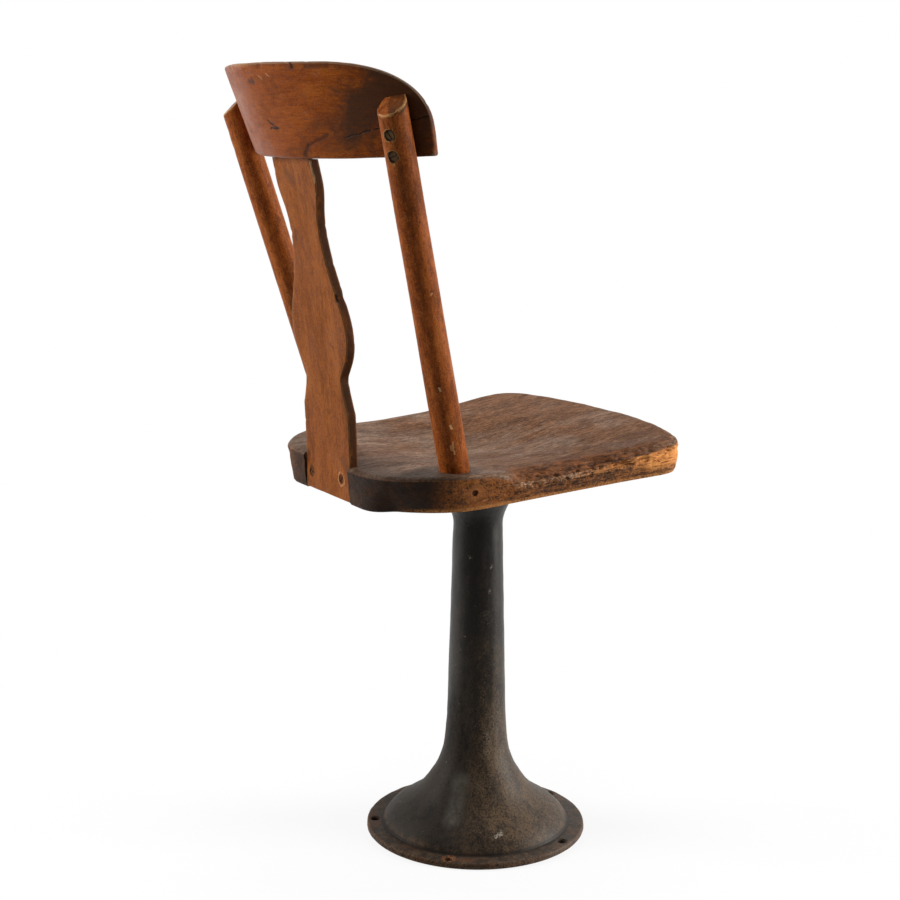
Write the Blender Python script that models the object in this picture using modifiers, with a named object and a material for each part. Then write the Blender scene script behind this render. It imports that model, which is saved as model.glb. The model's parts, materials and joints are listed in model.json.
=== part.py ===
"""School chair: wooden seat and splat back that swivel on a cast-iron pedestal screwed to the floor.

Metres, +Z up, the sitter faces -Y. Everything is drawn about the swivel axis and hangs on two empties on
that axis, one for the fixed pieces and one for those that turn. They are moved once at the end, so that the
origin lies under the middle of the bounding box.
"""
import math

import bmesh
import bpy
from mathutils import Matrix, Vector

# Clearances
FIT = 0.0003            # between two pieces that touch
SCREW_FIT = 0.0004      # round a screw or a nail
RUN_FIT = 0.0001        # between spindle and bush

# Pedestal casting
FLANGE_R = 0.1185
FLANGE_T = 0.0065
HEAD_TOP = 0.378        # height of the bearing face
HEAD_R = 0.036
COLUMN_TOP_R = 0.0262   # narrowest, just under the flared head
COLUMN_FOOT_R = 0.0322  # where the column runs into the bell
COLUMN_FOOT_Z = 0.1064
BELL_R = 0.1005         # foot of the bell on the flat ring
WALL = 0.0062
BOSS_H = 0.078          # length of the bored boss
HOLE_N = 5
HOLE_R = 0.0043
HOLE_SINK = 0.0012      # countersink of the floor holes
HOLE_TURN = math.radians(133.3)

# Swivel
SPINDLE_R = 0.012
SHANK_R = 0.009         # riveted end in the spider hub
RIVET_LIP = 0.0035
BUSH_WALL = 0.0027
WASHER_R = 0.030
WASHER_T = 0.003
KEEPER_T = 0.0025       # washer under the boss
PIN_R = 0.0016          # split pin
HUB_R = 0.027
HUB_H = 0.0192
ARM_T = 0.006
ARM_REACH = 0.086       # axis to arm screw
ARM_W = 0.026

# Seat
SEAT_TILT = math.radians(4.0)
SEAT_HALF = 0.1612      # half width on the axis
SEAT_TAPER = 0.0484     # narrowing per metre towards the back
SEAT_FRONT = 0.1704
SEAT_FRONT_BOW = 0.86
SEAT_BACK = 0.1787
SEAT_UNDERCUT = 0.0055  # how far the sides lean in towards the underside
SEAT_CORNER_LEAN = 0.0060   # more at the back corners
SEAT_FRONT_LEAN = 0.0034    # at the front edge
SEAT_EDGE = 0.0370      # thickness at the back rim
SEAT_SCOOP = 0.0070     # how far the side rims dip in the middle
SEAT_RISE = 0.0002      # how far the front rim stands above the back rim
DISH = 0.0095           # further hollow in the middle
SOCKET_DEPTH = 0.026

# Crest rail, part of a cone that opens upwards
CHAIR_H = 0.8100        # top of the crest rail
CREST_H = 0.0879
CREST_R = 0.2672        # outer radius at the lower edge
CREST_FLARE = 0.363
CREST_CENTRE = -0.0444
CREST_T = 0.021
CREST_TIP_T = 0.010
CREST_END = math.radians(41.1)
CREST_ROUND = math.radians(18.0)
CREST_CORNER = 0.060    # how far the upper corners fall
CREST_SWEEP_LOW = 0.0218
CREST_SWEEP_TOP = -0.0138
CREST_EDGE = 0.0016

# Posts
POST_INSET = 0.0342     # foot in from the side of the seat
POST_FOOT_Y = 0.103
POST_FOOT_R = 0.0148
POST_TOP_R = 0.0138
POST_DROP = 0.0375      # post top below the top of the crest rail
POST_ANGLE = math.radians(34.86)
POST_HOUSING = 0.0044   # depth the crest rail is let into the post
POST_SLANT = math.radians(36.0)
POST_SLANT_TURN = math.radians(17.0)   # the slanted top faces this much more to the back

# Splat
SPLAT_T = 0.0095
SPLAT_SET = 0.0080      # back face in from the outer face of the crest rail
SPLAT_HALF = 0.0475
SPLAT_SINK = 0.0011     # back face in from the back edge of the seat
SPLAT_LIFT = 0.002      # foot above the underside of the seat
TENON_T = 0.006
TENON_HALF = 0.033
TENON_LONG = 0.020

# Fasteners
SCREW_R = 0.0019
SCREW_HEAD_R = 0.0040
SLOT_W = 0.0010
SLOT_DEPTH = 0.0009
NAIL_R = 0.0014
NAIL_HEAD_R = 0.0027
NAIL_LONG = 0.034
NAIL_SUNK = 0.0025
CREST_SCREW_UP = (0.0266, 0.0084)   # above the lower edge of the crest rail
CREST_SCREW_TURN = math.radians(31.0)
CREST_SCREW_BITE = 0.010
SPLAT_SCREWS = ((0.036, 0.0185), (-0.029, 0.0225))  # across, and above the underside of the seat
SPLAT_SCREW_LONG = 0.028
ARM_SCREW_LONG = 0.018

# Colour, roughness and metallic value
WOOD = ((0.30, 0.12, 0.04), 0.40, 0.0)
SEAT_WOOD = ((0.20, 0.10, 0.05), 0.55, 0.0)
IRON = ((0.035, 0.028, 0.024), 0.75, 0.4)
STEEL = ((0.22, 0.20, 0.18), 0.50, 1.0)
BRASS = ((0.45, 0.30, 0.10), 0.35, 1.0)

for ob in list(bpy.data.objects):
    bpy.data.objects.remove(ob, do_unlink=True)

PARTS = bpy.data.collections.new("school_chair")
CUTTERS = bpy.data.collections.new("cutters")
for group in (PARTS, CUTTERS):
    bpy.context.scene.collection.children.link(group)


def axis_empty(name):
    empty = bpy.data.objects.new(name, None)
    PARTS.objects.link(empty)
    return empty


COLUMN = axis_empty("column_axis")
SWIVEL = axis_empty("swivel_axis")
FIXED = ("pedestal", "spindle_bush", "thrust_washer")


def add_material(mesh, look):
    colour, rough, metal = look
    mat = bpy.data.materials.new(mesh.name)
    mat.use_nodes = True
    shader = mat.node_tree.nodes["Principled BSDF"]
    shader.inputs["Base Color"].default_value = (*colour, 1.0)
    shader.inputs["Roughness"].default_value = rough
    shader.inputs["Metallic"].default_value = metal
    mesh.materials.append(mat)


def add_object(name, data, look, place):
    """A part with a look, or a cutter without one, placed from the swivel axis."""
    ob = bpy.data.objects.new(name, data)
    if look:
        PARTS.objects.link(ob)
        add_material(data, look)
    else:
        CUTTERS.objects.link(ob)
        ob.hide_render = True
        ob.display_type = "WIRE"
    ob.parent = COLUMN if name in FIXED else SWIVEL
    ob.matrix_basis = place or Matrix.Identity(4)
    return ob


def mesh_from(name, bm):
    bmesh.ops.recalc_face_normals(bm, faces=bm.faces)
    mesh = bpy.data.meshes.new(name)
    bm.to_mesh(mesh)
    bm.free()
    mesh.shade_smooth()
    mesh.set_sharp_from_angle(angle=math.radians(35.0))
    return mesh


def revolve(name, profile, steps, look=None, place=None):
    """Turn a profile about Z. It runs up the outer side; one that meets the axis twice makes a solid."""
    ends_on_axis = profile[0][0] == 0.0 and profile[-1][0] == 0.0
    bm = bmesh.new()
    points = [bm.verts.new((r, 0.0, z)) for r, z in reversed(profile)]
    for a, b in zip(points, points[1:] if ends_on_axis else points[1:] + points[:1]):
        bm.edges.new((a, b))
    ob = add_object(name, mesh_from(name, bm), look, place)
    turn = ob.modifiers.new("turn", "SCREW")
    turn.steps = turn.render_steps = steps
    turn.use_merge_vertices = True
    turn.merge_threshold = 0.00001
    return ob


def loft(name, rings, look=None, place=None, fan=False):
    """Skin rings of equal count and close both ends, with one face each or with a fan."""
    bm = bmesh.new()
    rows = [[bm.verts.new(p) for p in ring] for ring in rings]
    for low, high in zip(rows, rows[1:]):
        for k in range(len(low)):
            bm.faces.new((low[k - 1], low[k], high[k], high[k - 1]))
    for row in (rows[0], rows[-1]):
        cap = bm.faces.new(row)
        if fan:
            bmesh.ops.poke(bm, faces=[cap])
    return add_object(name, mesh_from(name, bm), look, place)


def slab(name, outline, low, high, look=None, place=None):
    bm = bmesh.new()
    face = bm.faces.new([bm.verts.new((p.x, p.y, low)) for p in outline])
    grown = bmesh.ops.extrude_face_region(bm, geom=[face])["geom"]
    top = [v for v in grown if isinstance(v, bmesh.types.BMVert)]
    bmesh.ops.translate(bm, vec=(0.0, 0.0, high - low), verts=top)
    return add_object(name, mesh_from(name, bm), look, place)


def block(name, low, high, place=None):
    """Box cutter between two corners."""
    low, high = Vector(low), Vector(high)
    bm = bmesh.new()
    size = Matrix.Diagonal((high - low).to_4d())
    size[3][3] = 1.0
    bmesh.ops.create_cube(bm, size=1.0, matrix=Matrix.Translation((low + high) / 2.0) @ size)
    return add_object(name, mesh_from(name, bm), None, place)


def wire(name, points, radius, look):
    curve = bpy.data.curves.new(name, "CURVE")
    curve.dimensions = "3D"
    curve.bevel_depth = radius
    curve.bevel_resolution = 2
    curve.use_fill_caps = True
    spline = curve.splines.new("POLY")
    spline.points.add(len(points) - 1)
    for knot, point in zip(spline.points, points):
        knot.co = (*point, 1.0)
    ob = add_object(name, curve, look, None)
    weld = ob.modifiers.new("caps", "WELD")
    weld.merge_threshold = 0.00001
    return ob


def combine(ob, other, operation="DIFFERENCE"):
    mod = ob.modifiers.new(other.name, "BOOLEAN")
    mod.operation = operation
    mod.object = other


def frame_on(point, direction):
    """Frame whose Z runs along direction."""
    turn = Vector(direction).normalized().to_track_quat("Z", "Y")
    return Matrix.Translation(point) @ turn.to_matrix().to_4x4()


def smoothstep(a, b, x):
    t = min(1.0, max(0.0, (x - a) / (b - a)))
    return t * t * (3.0 - 2.0 * t)


def screw_profile(long, grow=0.0, head=0.0):
    """Countersunk wood screw with its head face at z = 0 and its point at z = long."""
    rh, rs, rim = SCREW_HEAD_R + grow, SCREW_R + grow, 0.0004 + grow
    point = 2.0 * SCREW_R
    return [(0.0, -head), (rh, -head), (rh, rim), (rs, rh - rs + rim),
            (rs, long - point + grow), (0.0, long + grow)]


def slotted_screw(name, place, long, slot_turn):
    screw = revolve(name, screw_profile(long), 12, STEEL, place)
    reach = SCREW_HEAD_R * 1.2
    combine(screw, block(f"{name}_slot", (-reach, -SLOT_W / 2.0, -0.001), (reach, SLOT_W / 2.0, SLOT_DEPTH),
                         place @ Matrix.Rotation(slot_turn, 4, "Z")))


def screw_hole(name, place, long, head):
    return revolve(name, screw_profile(long, SCREW_FIT, head), 12, None, place)


# Pedestal
def bell(thinner, lift):
    """Profile of the bell from the flat ring up to the column, as shares of the foot and column sizes."""
    foot = ((0.992, 0.0098), (0.964, 0.0143), (0.920, 0.0192), (0.860, 0.0242), (0.780, 0.0296),
            (0.697, 0.0352), (0.617, 0.0420), (0.552, 0.0498))
    neck = ((1.503, 0.0604), (1.330, 0.0696), (1.207, 0.0788), (1.116, 0.0881), (1.060, 0.0985),
            (1.020, 0.1120))
    rows = [(BELL_R * share - thinner, z + lift) for share, z in foot]
    return rows + [(COLUMN_FOOT_R * share - thinner, z) for share, z in neck]


HEAD_FLARE = 0.038      # height of the flared head
NECK_Z = HEAD_TOP - HEAD_FLARE
BOSS_Z = HEAD_TOP - BOSS_H
BORE_R = SPINDLE_R + RUN_FIT + BUSH_WALL + FIT


def column_r(z):
    share = (z - COLUMN_FOOT_Z) / (NECK_Z - COLUMN_FOOT_Z)
    return COLUMN_FOOT_R + (COLUMN_TOP_R - COLUMN_FOOT_R) * share


outer = [(FLANGE_R, 0.0), (FLANGE_R, FLANGE_T - 0.0018), (FLANGE_R - 0.0012, FLANGE_T - 0.0004),
         (FLANGE_R - 0.0032, FLANGE_T), (BELL_R + 0.0010, FLANGE_T + 0.0003), (BELL_R, FLANGE_T + 0.0015)]
outer += bell(0.0, 0.0)
outer += [(column_r(z), z) for z in (COLUMN_FOOT_Z + 0.022, (COLUMN_FOOT_Z + NECK_Z) / 2.0, NECK_Z)]
outer += [(COLUMN_TOP_R + 0.0014, NECK_Z + 0.009), (COLUMN_TOP_R + 0.0040, NECK_Z + 0.016),
          (HEAD_R - 0.0022, HEAD_TOP - 0.0145), (HEAD_R, HEAD_TOP - 0.0100), (HEAD_R, HEAD_TOP - 0.0030),
          (HEAD_R - 0.0010, HEAD_TOP - 0.0008), (HEAD_R - 0.0025, HEAD_TOP)]
inner = [(BORE_R, HEAD_TOP), (BORE_R, BOSS_Z), (column_r(BOSS_Z) - WALL, BOSS_Z)]
inner += [(column_r(COLUMN_FOOT_Z) - WALL, COLUMN_FOOT_Z)]
inner += bell(WALL, -0.0010)[-2::-2] + [(BELL_R - WALL - 0.0003, 0.0)]
pedestal = revolve("pedestal", outer + inner, 48, IRON)
hole_ring = (FLANGE_R + BELL_R) / 2.0
for i in range(HOLE_N):
    turn = Matrix.Rotation(HOLE_TURN + 2.0 * math.pi * i / HOLE_N, 4, "Z")
    at = turn @ Matrix.Translation((hole_ring, 0.0, 0.0))
    wide = HOLE_R + HOLE_SINK
    profile = [(0.0, -0.002), (HOLE_R, -0.002), (HOLE_R, FLANGE_T - HOLE_SINK), (wide, FLANGE_T + 0.0004),
               (wide, 2.0 * FLANGE_T), (0.0, 2.0 * FLANGE_T)]
    combine(pedestal, revolve(f"floor_hole_{i + 1}", profile, 16, None, at))

# Swivel
run_r, bush_r = SPINDLE_R + RUN_FIT, BORE_R - FIT
low, high = BOSS_Z + FIT, HEAD_TOP - FIT
revolve("spindle_bush", [(bush_r, low), (bush_r, high), (run_r, high), (run_r, low)], 28, BRASS)

low, high = HEAD_TOP + FIT, HEAD_TOP + FIT + WASHER_T
revolve("thrust_washer", [(WASHER_R, low), (WASHER_R, high), (run_r, high), (run_r, low)], 28, STEEL)
HUB_Z = high + FIT
SEAT_Z = HUB_Z + HUB_H

low, high = BOSS_Z - FIT - KEEPER_T, BOSS_Z - FIT
keeper_r = column_r(BOSS_Z) - WALL - 0.0015
revolve("keeper_washer", [(keeper_r, low), (keeper_r, high), (run_r, high), (run_r, low)], 28, STEEL)

PIN_Z = low - FIT - PIN_R
RIVET_Z = HUB_Z + 0.65 * HUB_H
rivet_r = SHANK_R + RIVET_LIP
tip = PIN_Z - 0.012
spindle = revolve("spindle", [
    (0.0, tip), (SPINDLE_R - 0.0015, tip), (SPINDLE_R, tip + 0.0015), (SPINDLE_R, HUB_Z - FIT),
    (SHANK_R, HUB_Z - FIT), (SHANK_R, RIVET_Z), (rivet_r, RIVET_Z + RIVET_LIP),
    (rivet_r, RIVET_Z + RIVET_LIP + 0.001), (0.0, RIVET_Z + RIVET_LIP + 0.0017)], 28, STEEL)
reach = 2.5 * SPINDLE_R
profile = [(0.0, -reach), (PIN_R + FIT, -reach), (PIN_R + FIT, reach), (0.0, reach)]
combine(spindle, revolve("pin_hole", profile, 16, None, frame_on((0.0, 0.0, PIN_Z), (1.0, 0.0, 0.0))))

out = SPINDLE_R + 0.0008 + PIN_R
eye = 2.0 * PIN_R
route = [(-out - 0.0005, -0.012), (-out - 0.0005, -0.005), (-out - 0.0002, -0.0028), (-out + 0.0008, -0.0008),
         (-out + 0.0024, 0.0), (out - 0.001, 0.0)]
route += [(out + eye * math.sin(0.6 * k), eye * (math.cos(0.6 * k) - 1.0)) for k in range(6)]
wire("split_pin", [(x, 0.0, PIN_Z + z) for x, z in route], PIN_R, STEEL)

# Seat frame: x across, v to the back along the tilted seat, w square on its underside
SEAT = Matrix.Translation((0.0, 0.0, SEAT_Z)) @ Matrix.Rotation(-SEAT_TILT, 4, "X")

# Spider under the seat
star = []
for k in range(4):
    a = math.radians(45.0 + 90.0 * k)
    along, across = Vector((math.cos(a), math.sin(a))), Vector((-math.sin(a), math.cos(a)))
    root, end_r = HUB_R + 0.014, ARM_W * 0.40
    star.append(along * root - across * ARM_W * 0.56)
    star += [along * (ARM_REACH + end_r * math.cos(t)) + across * end_r * math.sin(t)
             for t in (math.radians(30.0 * i) for i in range(-3, 4))]
    star.append(along * root + across * ARM_W * 0.56)
spider = slab("seat_spider", star, -FIT - ARM_T, -FIT, IRON, SEAT)
hub_top = SEAT_Z - ARM_T * 0.5
hub_steps = 30          # no corner of the hub falls on the middle of an arm
profile = [(0.0, HUB_Z), (HUB_R, HUB_Z), (HUB_R + 0.003, hub_top), (0.0, hub_top)]
combine(spider, revolve("spider_hub", profile, hub_steps), "UNION")
bore = SHANK_R + FIT
combine(spider, revolve("hub_bore", [
    (0.0, HUB_Z - 0.01), (bore, HUB_Z - 0.01), (bore, RIVET_Z - FIT),
    (bore + RIVET_LIP, RIVET_Z + RIVET_LIP - FIT), (bore + RIVET_LIP, SEAT_Z + 0.01),
    (0.0, SEAT_Z + 0.01)], hub_steps))


# Seat
def seat_half(v):
    return SEAT_HALF - SEAT_TAPER * v


def rounded(start, corner, end, steps, pull):
    """Points of a corner between two runs that would meet at corner."""
    c0, c1 = start.lerp(corner, pull), end.lerp(corner, pull)
    points = []
    for i in range(steps + 1):
        t = i / steps
        u = 1.0 - t
        points.append(start * u ** 3 + c0 * 3 * t * u * u + c1 * 3 * t * t * u + end * t ** 3)
    return points


def seat_outline():
    """Half from the front middle to the back middle, then mirrored."""
    x1, vs = SEAT_HALF * 0.68, -SEAT_FRONT * 0.68
    half = [Vector((x, -SEAT_FRONT + SEAT_FRONT_BOW * x * x)) for x in (x1 * i / 6.0 for i in range(6))]
    a, b = Vector((x1, -SEAT_FRONT + SEAT_FRONT_BOW * x1 * x1)), Vector((seat_half(vs), vs))
    slope = 2.0 * SEAT_FRONT_BOW * x1
    run = (b.x + SEAT_TAPER * b.y - a.x - SEAT_TAPER * a.y) / (1.0 + SEAT_TAPER * slope)
    half += rounded(a, Vector((a.x + run, a.y + slope * run)), b, 10, 0.78)
    vb, xb = SEAT_BACK * 0.45, SEAT_HALF * 0.42
    half += [Vector((seat_half(v), v)) for v in (vs * 0.5, 0.0, vb * 0.5)]
    half += rounded(Vector((seat_half(vb), vb)), Vector((seat_half(SEAT_BACK), SEAT_BACK)),
                    Vector((xb, SEAT_BACK)), 10, 0.56)
    half += [Vector((xb * (1.0 - i / 5.0), SEAT_BACK)) for i in range(1, 6)]
    return half + [Vector((-p.x, p.y)) for p in half[-2:0:-1]]


def seat_top(x, v):
    rim = SEAT_EDGE - SEAT_SCOOP * (1.0 - smoothstep(0.02, SEAT_BACK * 0.8, v))
    rim += (SEAT_SCOOP + SEAT_RISE) * smoothstep(0.02, SEAT_FRONT, -v)
    u = (x / (SEAT_HALF * 0.80)) ** 2 + ((v - 0.022) / (SEAT_BACK * 0.66)) ** 2
    return rim - DISH * max(0.0, 1.0 - u) ** 2 * (1.0 + u)


def inset(p, d):
    return p * (1.0 - d / p.length)


def undercut(p):
    """How far the edge leans in towards the underside: most at the back corners, not along the back."""
    lean = SEAT_UNDERCUT + SEAT_CORNER_LEAN * smoothstep(SEAT_BACK * 0.6, SEAT_BACK * 0.92, p.y)
    lean += (SEAT_FRONT_LEAN - SEAT_UNDERCUT) * smoothstep(SEAT_FRONT * 0.4, SEAT_FRONT * 0.8, -p.y)
    return lean * (1.0 - smoothstep(SEAT_BACK * 0.985, SEAT_BACK, p.y))


rim = seat_outline()
rings = [[(*(p * t), seat_top(*(p * t))) for p in rim] for t in (0.18, 0.36, 0.53, 0.68, 0.80, 0.90)]
for d, drop in ((0.0048, 0.0), (0.0022, 0.0006), (0.0006, 0.0020), (0.0, 0.0042)):
    rings.append([(*inset(p, d), seat_top(*inset(p, d)) - drop) for p in rim])
for d, w in ((0.0, 0.0018), (0.0016, 0.0)):
    rings.append([(*inset(p, undercut(p) + d), w) for p in rim])
seat = loft("seat", rings, SEAT_WOOD, SEAT, fan=True)
seat_back = SEAT @ Vector((0.0, SEAT_BACK, 0.0))

for i in range(4):
    a = math.radians(45.0 + 90.0 * i)
    at = SEAT @ Matrix.Translation((ARM_REACH * math.cos(a), ARM_REACH * math.sin(a), -FIT - ARM_T))
    slotted_screw(f"spider_screw_{i + 1}", at, ARM_SCREW_LONG, 0.7 + 1.3 * i)
    hole = screw_hole(f"spider_hole_{i + 1}", at, ARM_SCREW_LONG, ARM_T / 2.0)
    combine(spider, hole)
    combine(seat, hole)

# Crest rail
CREST_BOTTOM = CHAIR_H - CREST_H


def crest_r(z):
    return CREST_R + CREST_FLARE * (z - CREST_BOTTOM)


def crest_low(t):
    return CREST_BOTTOM + CREST_SWEEP_LOW * (1.0 - math.cos(t))


def crest_high(t):
    z = CHAIR_H + CREST_SWEEP_TOP * (1.0 - math.cos(t))
    u = min(1.0, max(0.0, (abs(t) - CREST_ROUND) / (CREST_END - CREST_ROUND)))
    return z - CREST_CORNER * (1.0 - (1.0 - u ** 2.7) ** (1.0 / 2.7))


def crest_t(t):
    return CREST_T + (CREST_TIP_T - CREST_T) * smoothstep(CREST_ROUND, CREST_END, abs(t))


def crest_point(t, z, depth):
    r = crest_r(z) - depth
    return Vector((r * math.sin(t), CREST_CENTRE + r * math.cos(t), z))


half = [CREST_ROUND * i / 9.0 for i in range(9)]
half += [CREST_ROUND + (CREST_END - CREST_ROUND) * math.sin(math.pi / 2.0 * i / 13.0) ** 0.8
         for i in range(14)]
turns = [-t for t in reversed(half[1:])] + half
rings, let_in = [], []
for t in turns:
    low, high, thick = crest_low(t), crest_high(t), crest_t(t)
    mid = (low + high) / 2.0
    rings.append([crest_point(t, z, 0.0) for z in (low, mid, high)]
                 + [crest_point(t, z, thick) for z in (high, mid, low)])
    past, deep = CHAIR_H + CREST_H, CREST_T + POST_TOP_R
    let_in.append([crest_point(t, low - FIT, -FIT), crest_point(t, past, -FIT),
                   crest_point(t, past, deep), crest_point(t, low - FIT, deep)])
crest = loft("crest_rail", rings, WOOD)
bevel = crest.modifiers.new("worn_edges", "BEVEL")
bevel.width = CREST_EDGE
bevel.segments = 2
bevel.limit_method = "ANGLE"
bevel.angle_limit = math.radians(50.0)
housing = loft("crest_housing", let_in)

# Posts with their nails and crest screws
foot_v = POST_FOOT_Y / math.cos(SEAT_TILT)
foot_x = seat_half(foot_v) - POST_INSET
foot_z = (SEAT @ Vector((foot_x, foot_v, seat_top(foot_x, foot_v)))).z
top_z = CHAIR_H - POST_DROP
top_r = crest_r(top_z) + POST_TOP_R - POST_HOUSING


def post_ring(frame, long, s, grow, slant=0.0, low=0.0, steps=32):
    """Section of a post at s along it, slanted down towards the angle low. X points away from the crest rail."""
    r = POST_FOOT_R + (POST_TOP_R - POST_FOOT_R) * s / long + grow
    turn = [2.0 * math.pi * k / steps for k in range(steps)]
    return [frame @ Vector((r * math.cos(a), r * math.sin(a), s - slant * r * math.cos(a - low))) for a in turn]


def post_frame(end, axis, away):
    across = axis.cross(away)
    turn = Matrix((away, across, axis)).transposed().to_4x4()
    return Matrix.Translation(end) @ turn


for side, hand in ((1.0, "left"), (-1.0, "right")):
    out = Vector((side * math.sin(POST_ANGLE), math.cos(POST_ANGLE), 0.0))
    top = Vector((0.0, CREST_CENTRE, top_z)) + out * top_r
    foot = Vector((side * foot_x, POST_FOOT_Y, foot_z))
    axis = (top - foot).normalized()
    end = foot - axis * SOCKET_DEPTH
    long = (top - end).length
    frame = post_frame(end, axis, (out - axis * out.dot(axis)).normalized())
    lean = math.tan(POST_SLANT)
    post = loft(f"{hand}_post", [
        post_ring(frame, long, s, grow, slant, side * POST_SLANT_TURN) for s, grow, slant in (
            (0.0, -0.0012, 0.0), (0.0014, 0.0, 0.0), (long * 0.45, 0.0, 0.0),
            (long - 0.0006, 0.0, lean), (long, -0.0006, lean))], WOOD)
    combine(post, housing)
    combine(seat, loft(f"{hand}_socket", [post_ring(frame, long, -FIT, FIT),
                                          post_ring(frame, long, SOCKET_DEPTH + 2.0 * POST_FOOT_R, FIT)]))

    hit = end + axis * 0.0085
    start_x = side * (seat_half(foot_v) - SEAT_UNDERCUT * 0.6 - NAIL_SUNK)
    at = frame_on((start_x, hit.y, hit.z), (-side, 0.0, 0.0))
    nail = [(0.0, 0.0), (NAIL_HEAD_R, 0.0003), (NAIL_HEAD_R, 0.0010), (NAIL_R, 0.0016),
            (NAIL_R, NAIL_LONG - 2.0 * NAIL_R), (0.0, NAIL_LONG)]
    revolve(f"{hand}_post_nail", nail, 14, STEEL, at)
    wide, thin = NAIL_HEAD_R + SCREW_FIT, NAIL_R + SCREW_FIT
    hole = revolve(f"{hand}_nail_hole", [
        (0.0, -0.02), (wide, -0.02), (wide, 0.0010 + SCREW_FIT), (thin, 0.0016 + SCREW_FIT),
        (thin, NAIL_LONG + SCREW_FIT), (0.0, NAIL_LONG + SCREW_FIT)], 14, None, at)
    combine(seat, hole)
    combine(post, hole)

    for i, up in enumerate(CREST_SCREW_UP):
        on_axis = end + axis * ((CREST_BOTTOM + up - end.z) / axis.z)
        aim = Vector((side * math.sin(CREST_SCREW_TURN), math.cos(CREST_SCREW_TURN), 0.0))
        aim = (aim - axis * aim.dot(axis)).normalized()
        head = POST_TOP_R - 0.0013
        at = frame_on(on_axis + aim * head, -aim)
        deep = head + POST_TOP_R - POST_HOUSING + CREST_SCREW_BITE
        slotted_screw(f"{hand}_crest_screw_{i + 1}", at, deep, 2.1 + 1.7 * i + side)
        hole = screw_hole(f"{hand}_crest_hole_{i + 1}", at, deep, POST_TOP_R)
        combine(post, hole)
        combine(crest, hole)

# Splat
SPLAT_FOOT = seat_back.z + SPLAT_LIFT
SPLAT_TOP = CREST_BOTTOM - FIT
SPLAT_LONG = SPLAT_TOP - SPLAT_FOOT
foot_y = seat_back.y - SPLAT_SINK
top_y = CREST_CENTRE + crest_r(SPLAT_TOP) - SPLAT_SET

# Outline as (share of the height, share of the foot's half width)
OUTLINE = ((0.000, 1.000), (0.263, 1.000), (0.275, 0.960), (0.300, 0.895), (0.330, 0.825), (0.358, 0.795),
           (0.372, 0.815), (0.391, 0.915), (0.423, 1.080), (0.454, 1.180), (0.485, 1.221), (0.515, 1.210),
           (0.548, 1.155), (0.600, 1.005), (0.629, 0.920), (0.657, 0.835), (0.687, 0.760), (0.716, 0.705),
           (0.743, 0.668), (0.772, 0.645), (0.800, 0.645), (0.826, 0.665), (0.856, 0.720), (0.884, 0.795),
           (0.912, 0.860), (0.938, 0.880), (1.000, 0.862))
STRAIGHT = (0, 1, 4, len(OUTLINE) - 2)


def splat_back(z):
    return foot_y + (top_y - foot_y) * ((z - SPLAT_FOOT) / SPLAT_LONG) ** 2


def splat_half(s):
    """Half width at a share of the height: a smooth curve through the outline, with a few straight runs."""
    i = max(k for k in range(len(OUTLINE) - 1) if OUTLINE[k][0] <= s)
    (a, wa), (b, wb) = OUTLINE[i], OUTLINE[i + 1]
    t = (s - a) / (b - a)
    if i in STRAIGHT:
        return SPLAT_HALF * (wa + (wb - wa) * t)
    (before, w0), (after, w1) = OUTLINE[i - 1], OUTLINE[i + 2]
    ma, mb = (wb - w0) / (b - before) * (b - a), (w1 - wa) / (after - a) * (b - a)
    return SPLAT_HALF * ((2 * t ** 3 - 3 * t * t + 1) * wa + (t ** 3 - 2 * t * t + t) * ma
                         + (3 * t * t - 2 * t ** 3) * wb + (t ** 3 - t * t) * mb)


def splat_ring(z, half, thick, ease):
    """Section of the board with its edges eased."""
    y1 = splat_back(z) - (SPLAT_T - thick) / 2.0
    y0 = y1 - thick
    right = [(half - ease, y1), (half, y1 - ease), (half, y0 + ease), (half - ease, y0)]
    return [(x, y, z) for x, y in right + [(-x, y) for x, y in reversed(right)]]


shares = []
for (a, _), (b, _) in zip(OUTLINE, OUTLINE[1:]):
    steps = 2 if b - a < 0.2 else 4
    shares += [a + (b - a) * i / steps for i in range(steps)]
rings = [splat_ring(SPLAT_FOOT + SPLAT_LONG * s, splat_half(s), SPLAT_T, 0.0007) for s in shares]
rings.append(splat_ring(SPLAT_TOP, SPLAT_HALF * OUTLINE[-1][1], SPLAT_T, 0.0007))
rings += [splat_ring(SPLAT_TOP + up, TENON_HALF, TENON_T, 0.0004) for up in (0.0, TENON_LONG)]
splat = loft("splat", rings, WOOD)
combine(crest, loft("crest_mortise", [splat_ring(z, TENON_HALF + FIT, TENON_T + 2.0 * FIT, FIT) for z in (
    SPLAT_TOP - TENON_LONG / 2.0, SPLAT_TOP + TENON_LONG + FIT)]))
wide = SPLAT_HALF + FIT
combine(seat, block("splat_notch", (-wide, foot_y - SPLAT_T - FIT, seat_back.z - SEAT_EDGE),
                    (wide, foot_y + SPLAT_T, seat_back.z + 2.0 * SEAT_EDGE)))
for i, (x, up) in enumerate(SPLAT_SCREWS):
    z = seat_back.z + up
    at = frame_on((x, splat_back(z) - 0.0006, z), (0.0, -1.0, 0.0))
    slotted_screw(f"splat_screw_{i + 1}", at, SPLAT_SCREW_LONG, 0.4 + 1.9 * i)
    hole = screw_hole(f"splat_hole_{i + 1}", at, SPLAT_SCREW_LONG, 0.004)
    combine(splat, hole)
    combine(seat, hole)

# Origin under the middle of the box
front_y = min((SEAT @ v.co).y for v in seat.data.vertices)
back_y = max(v.co.y for v in crest.data.vertices)
for empty in (COLUMN, SWIVEL):
    empty.location.y = -(front_y + back_y) / 2.0
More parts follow.
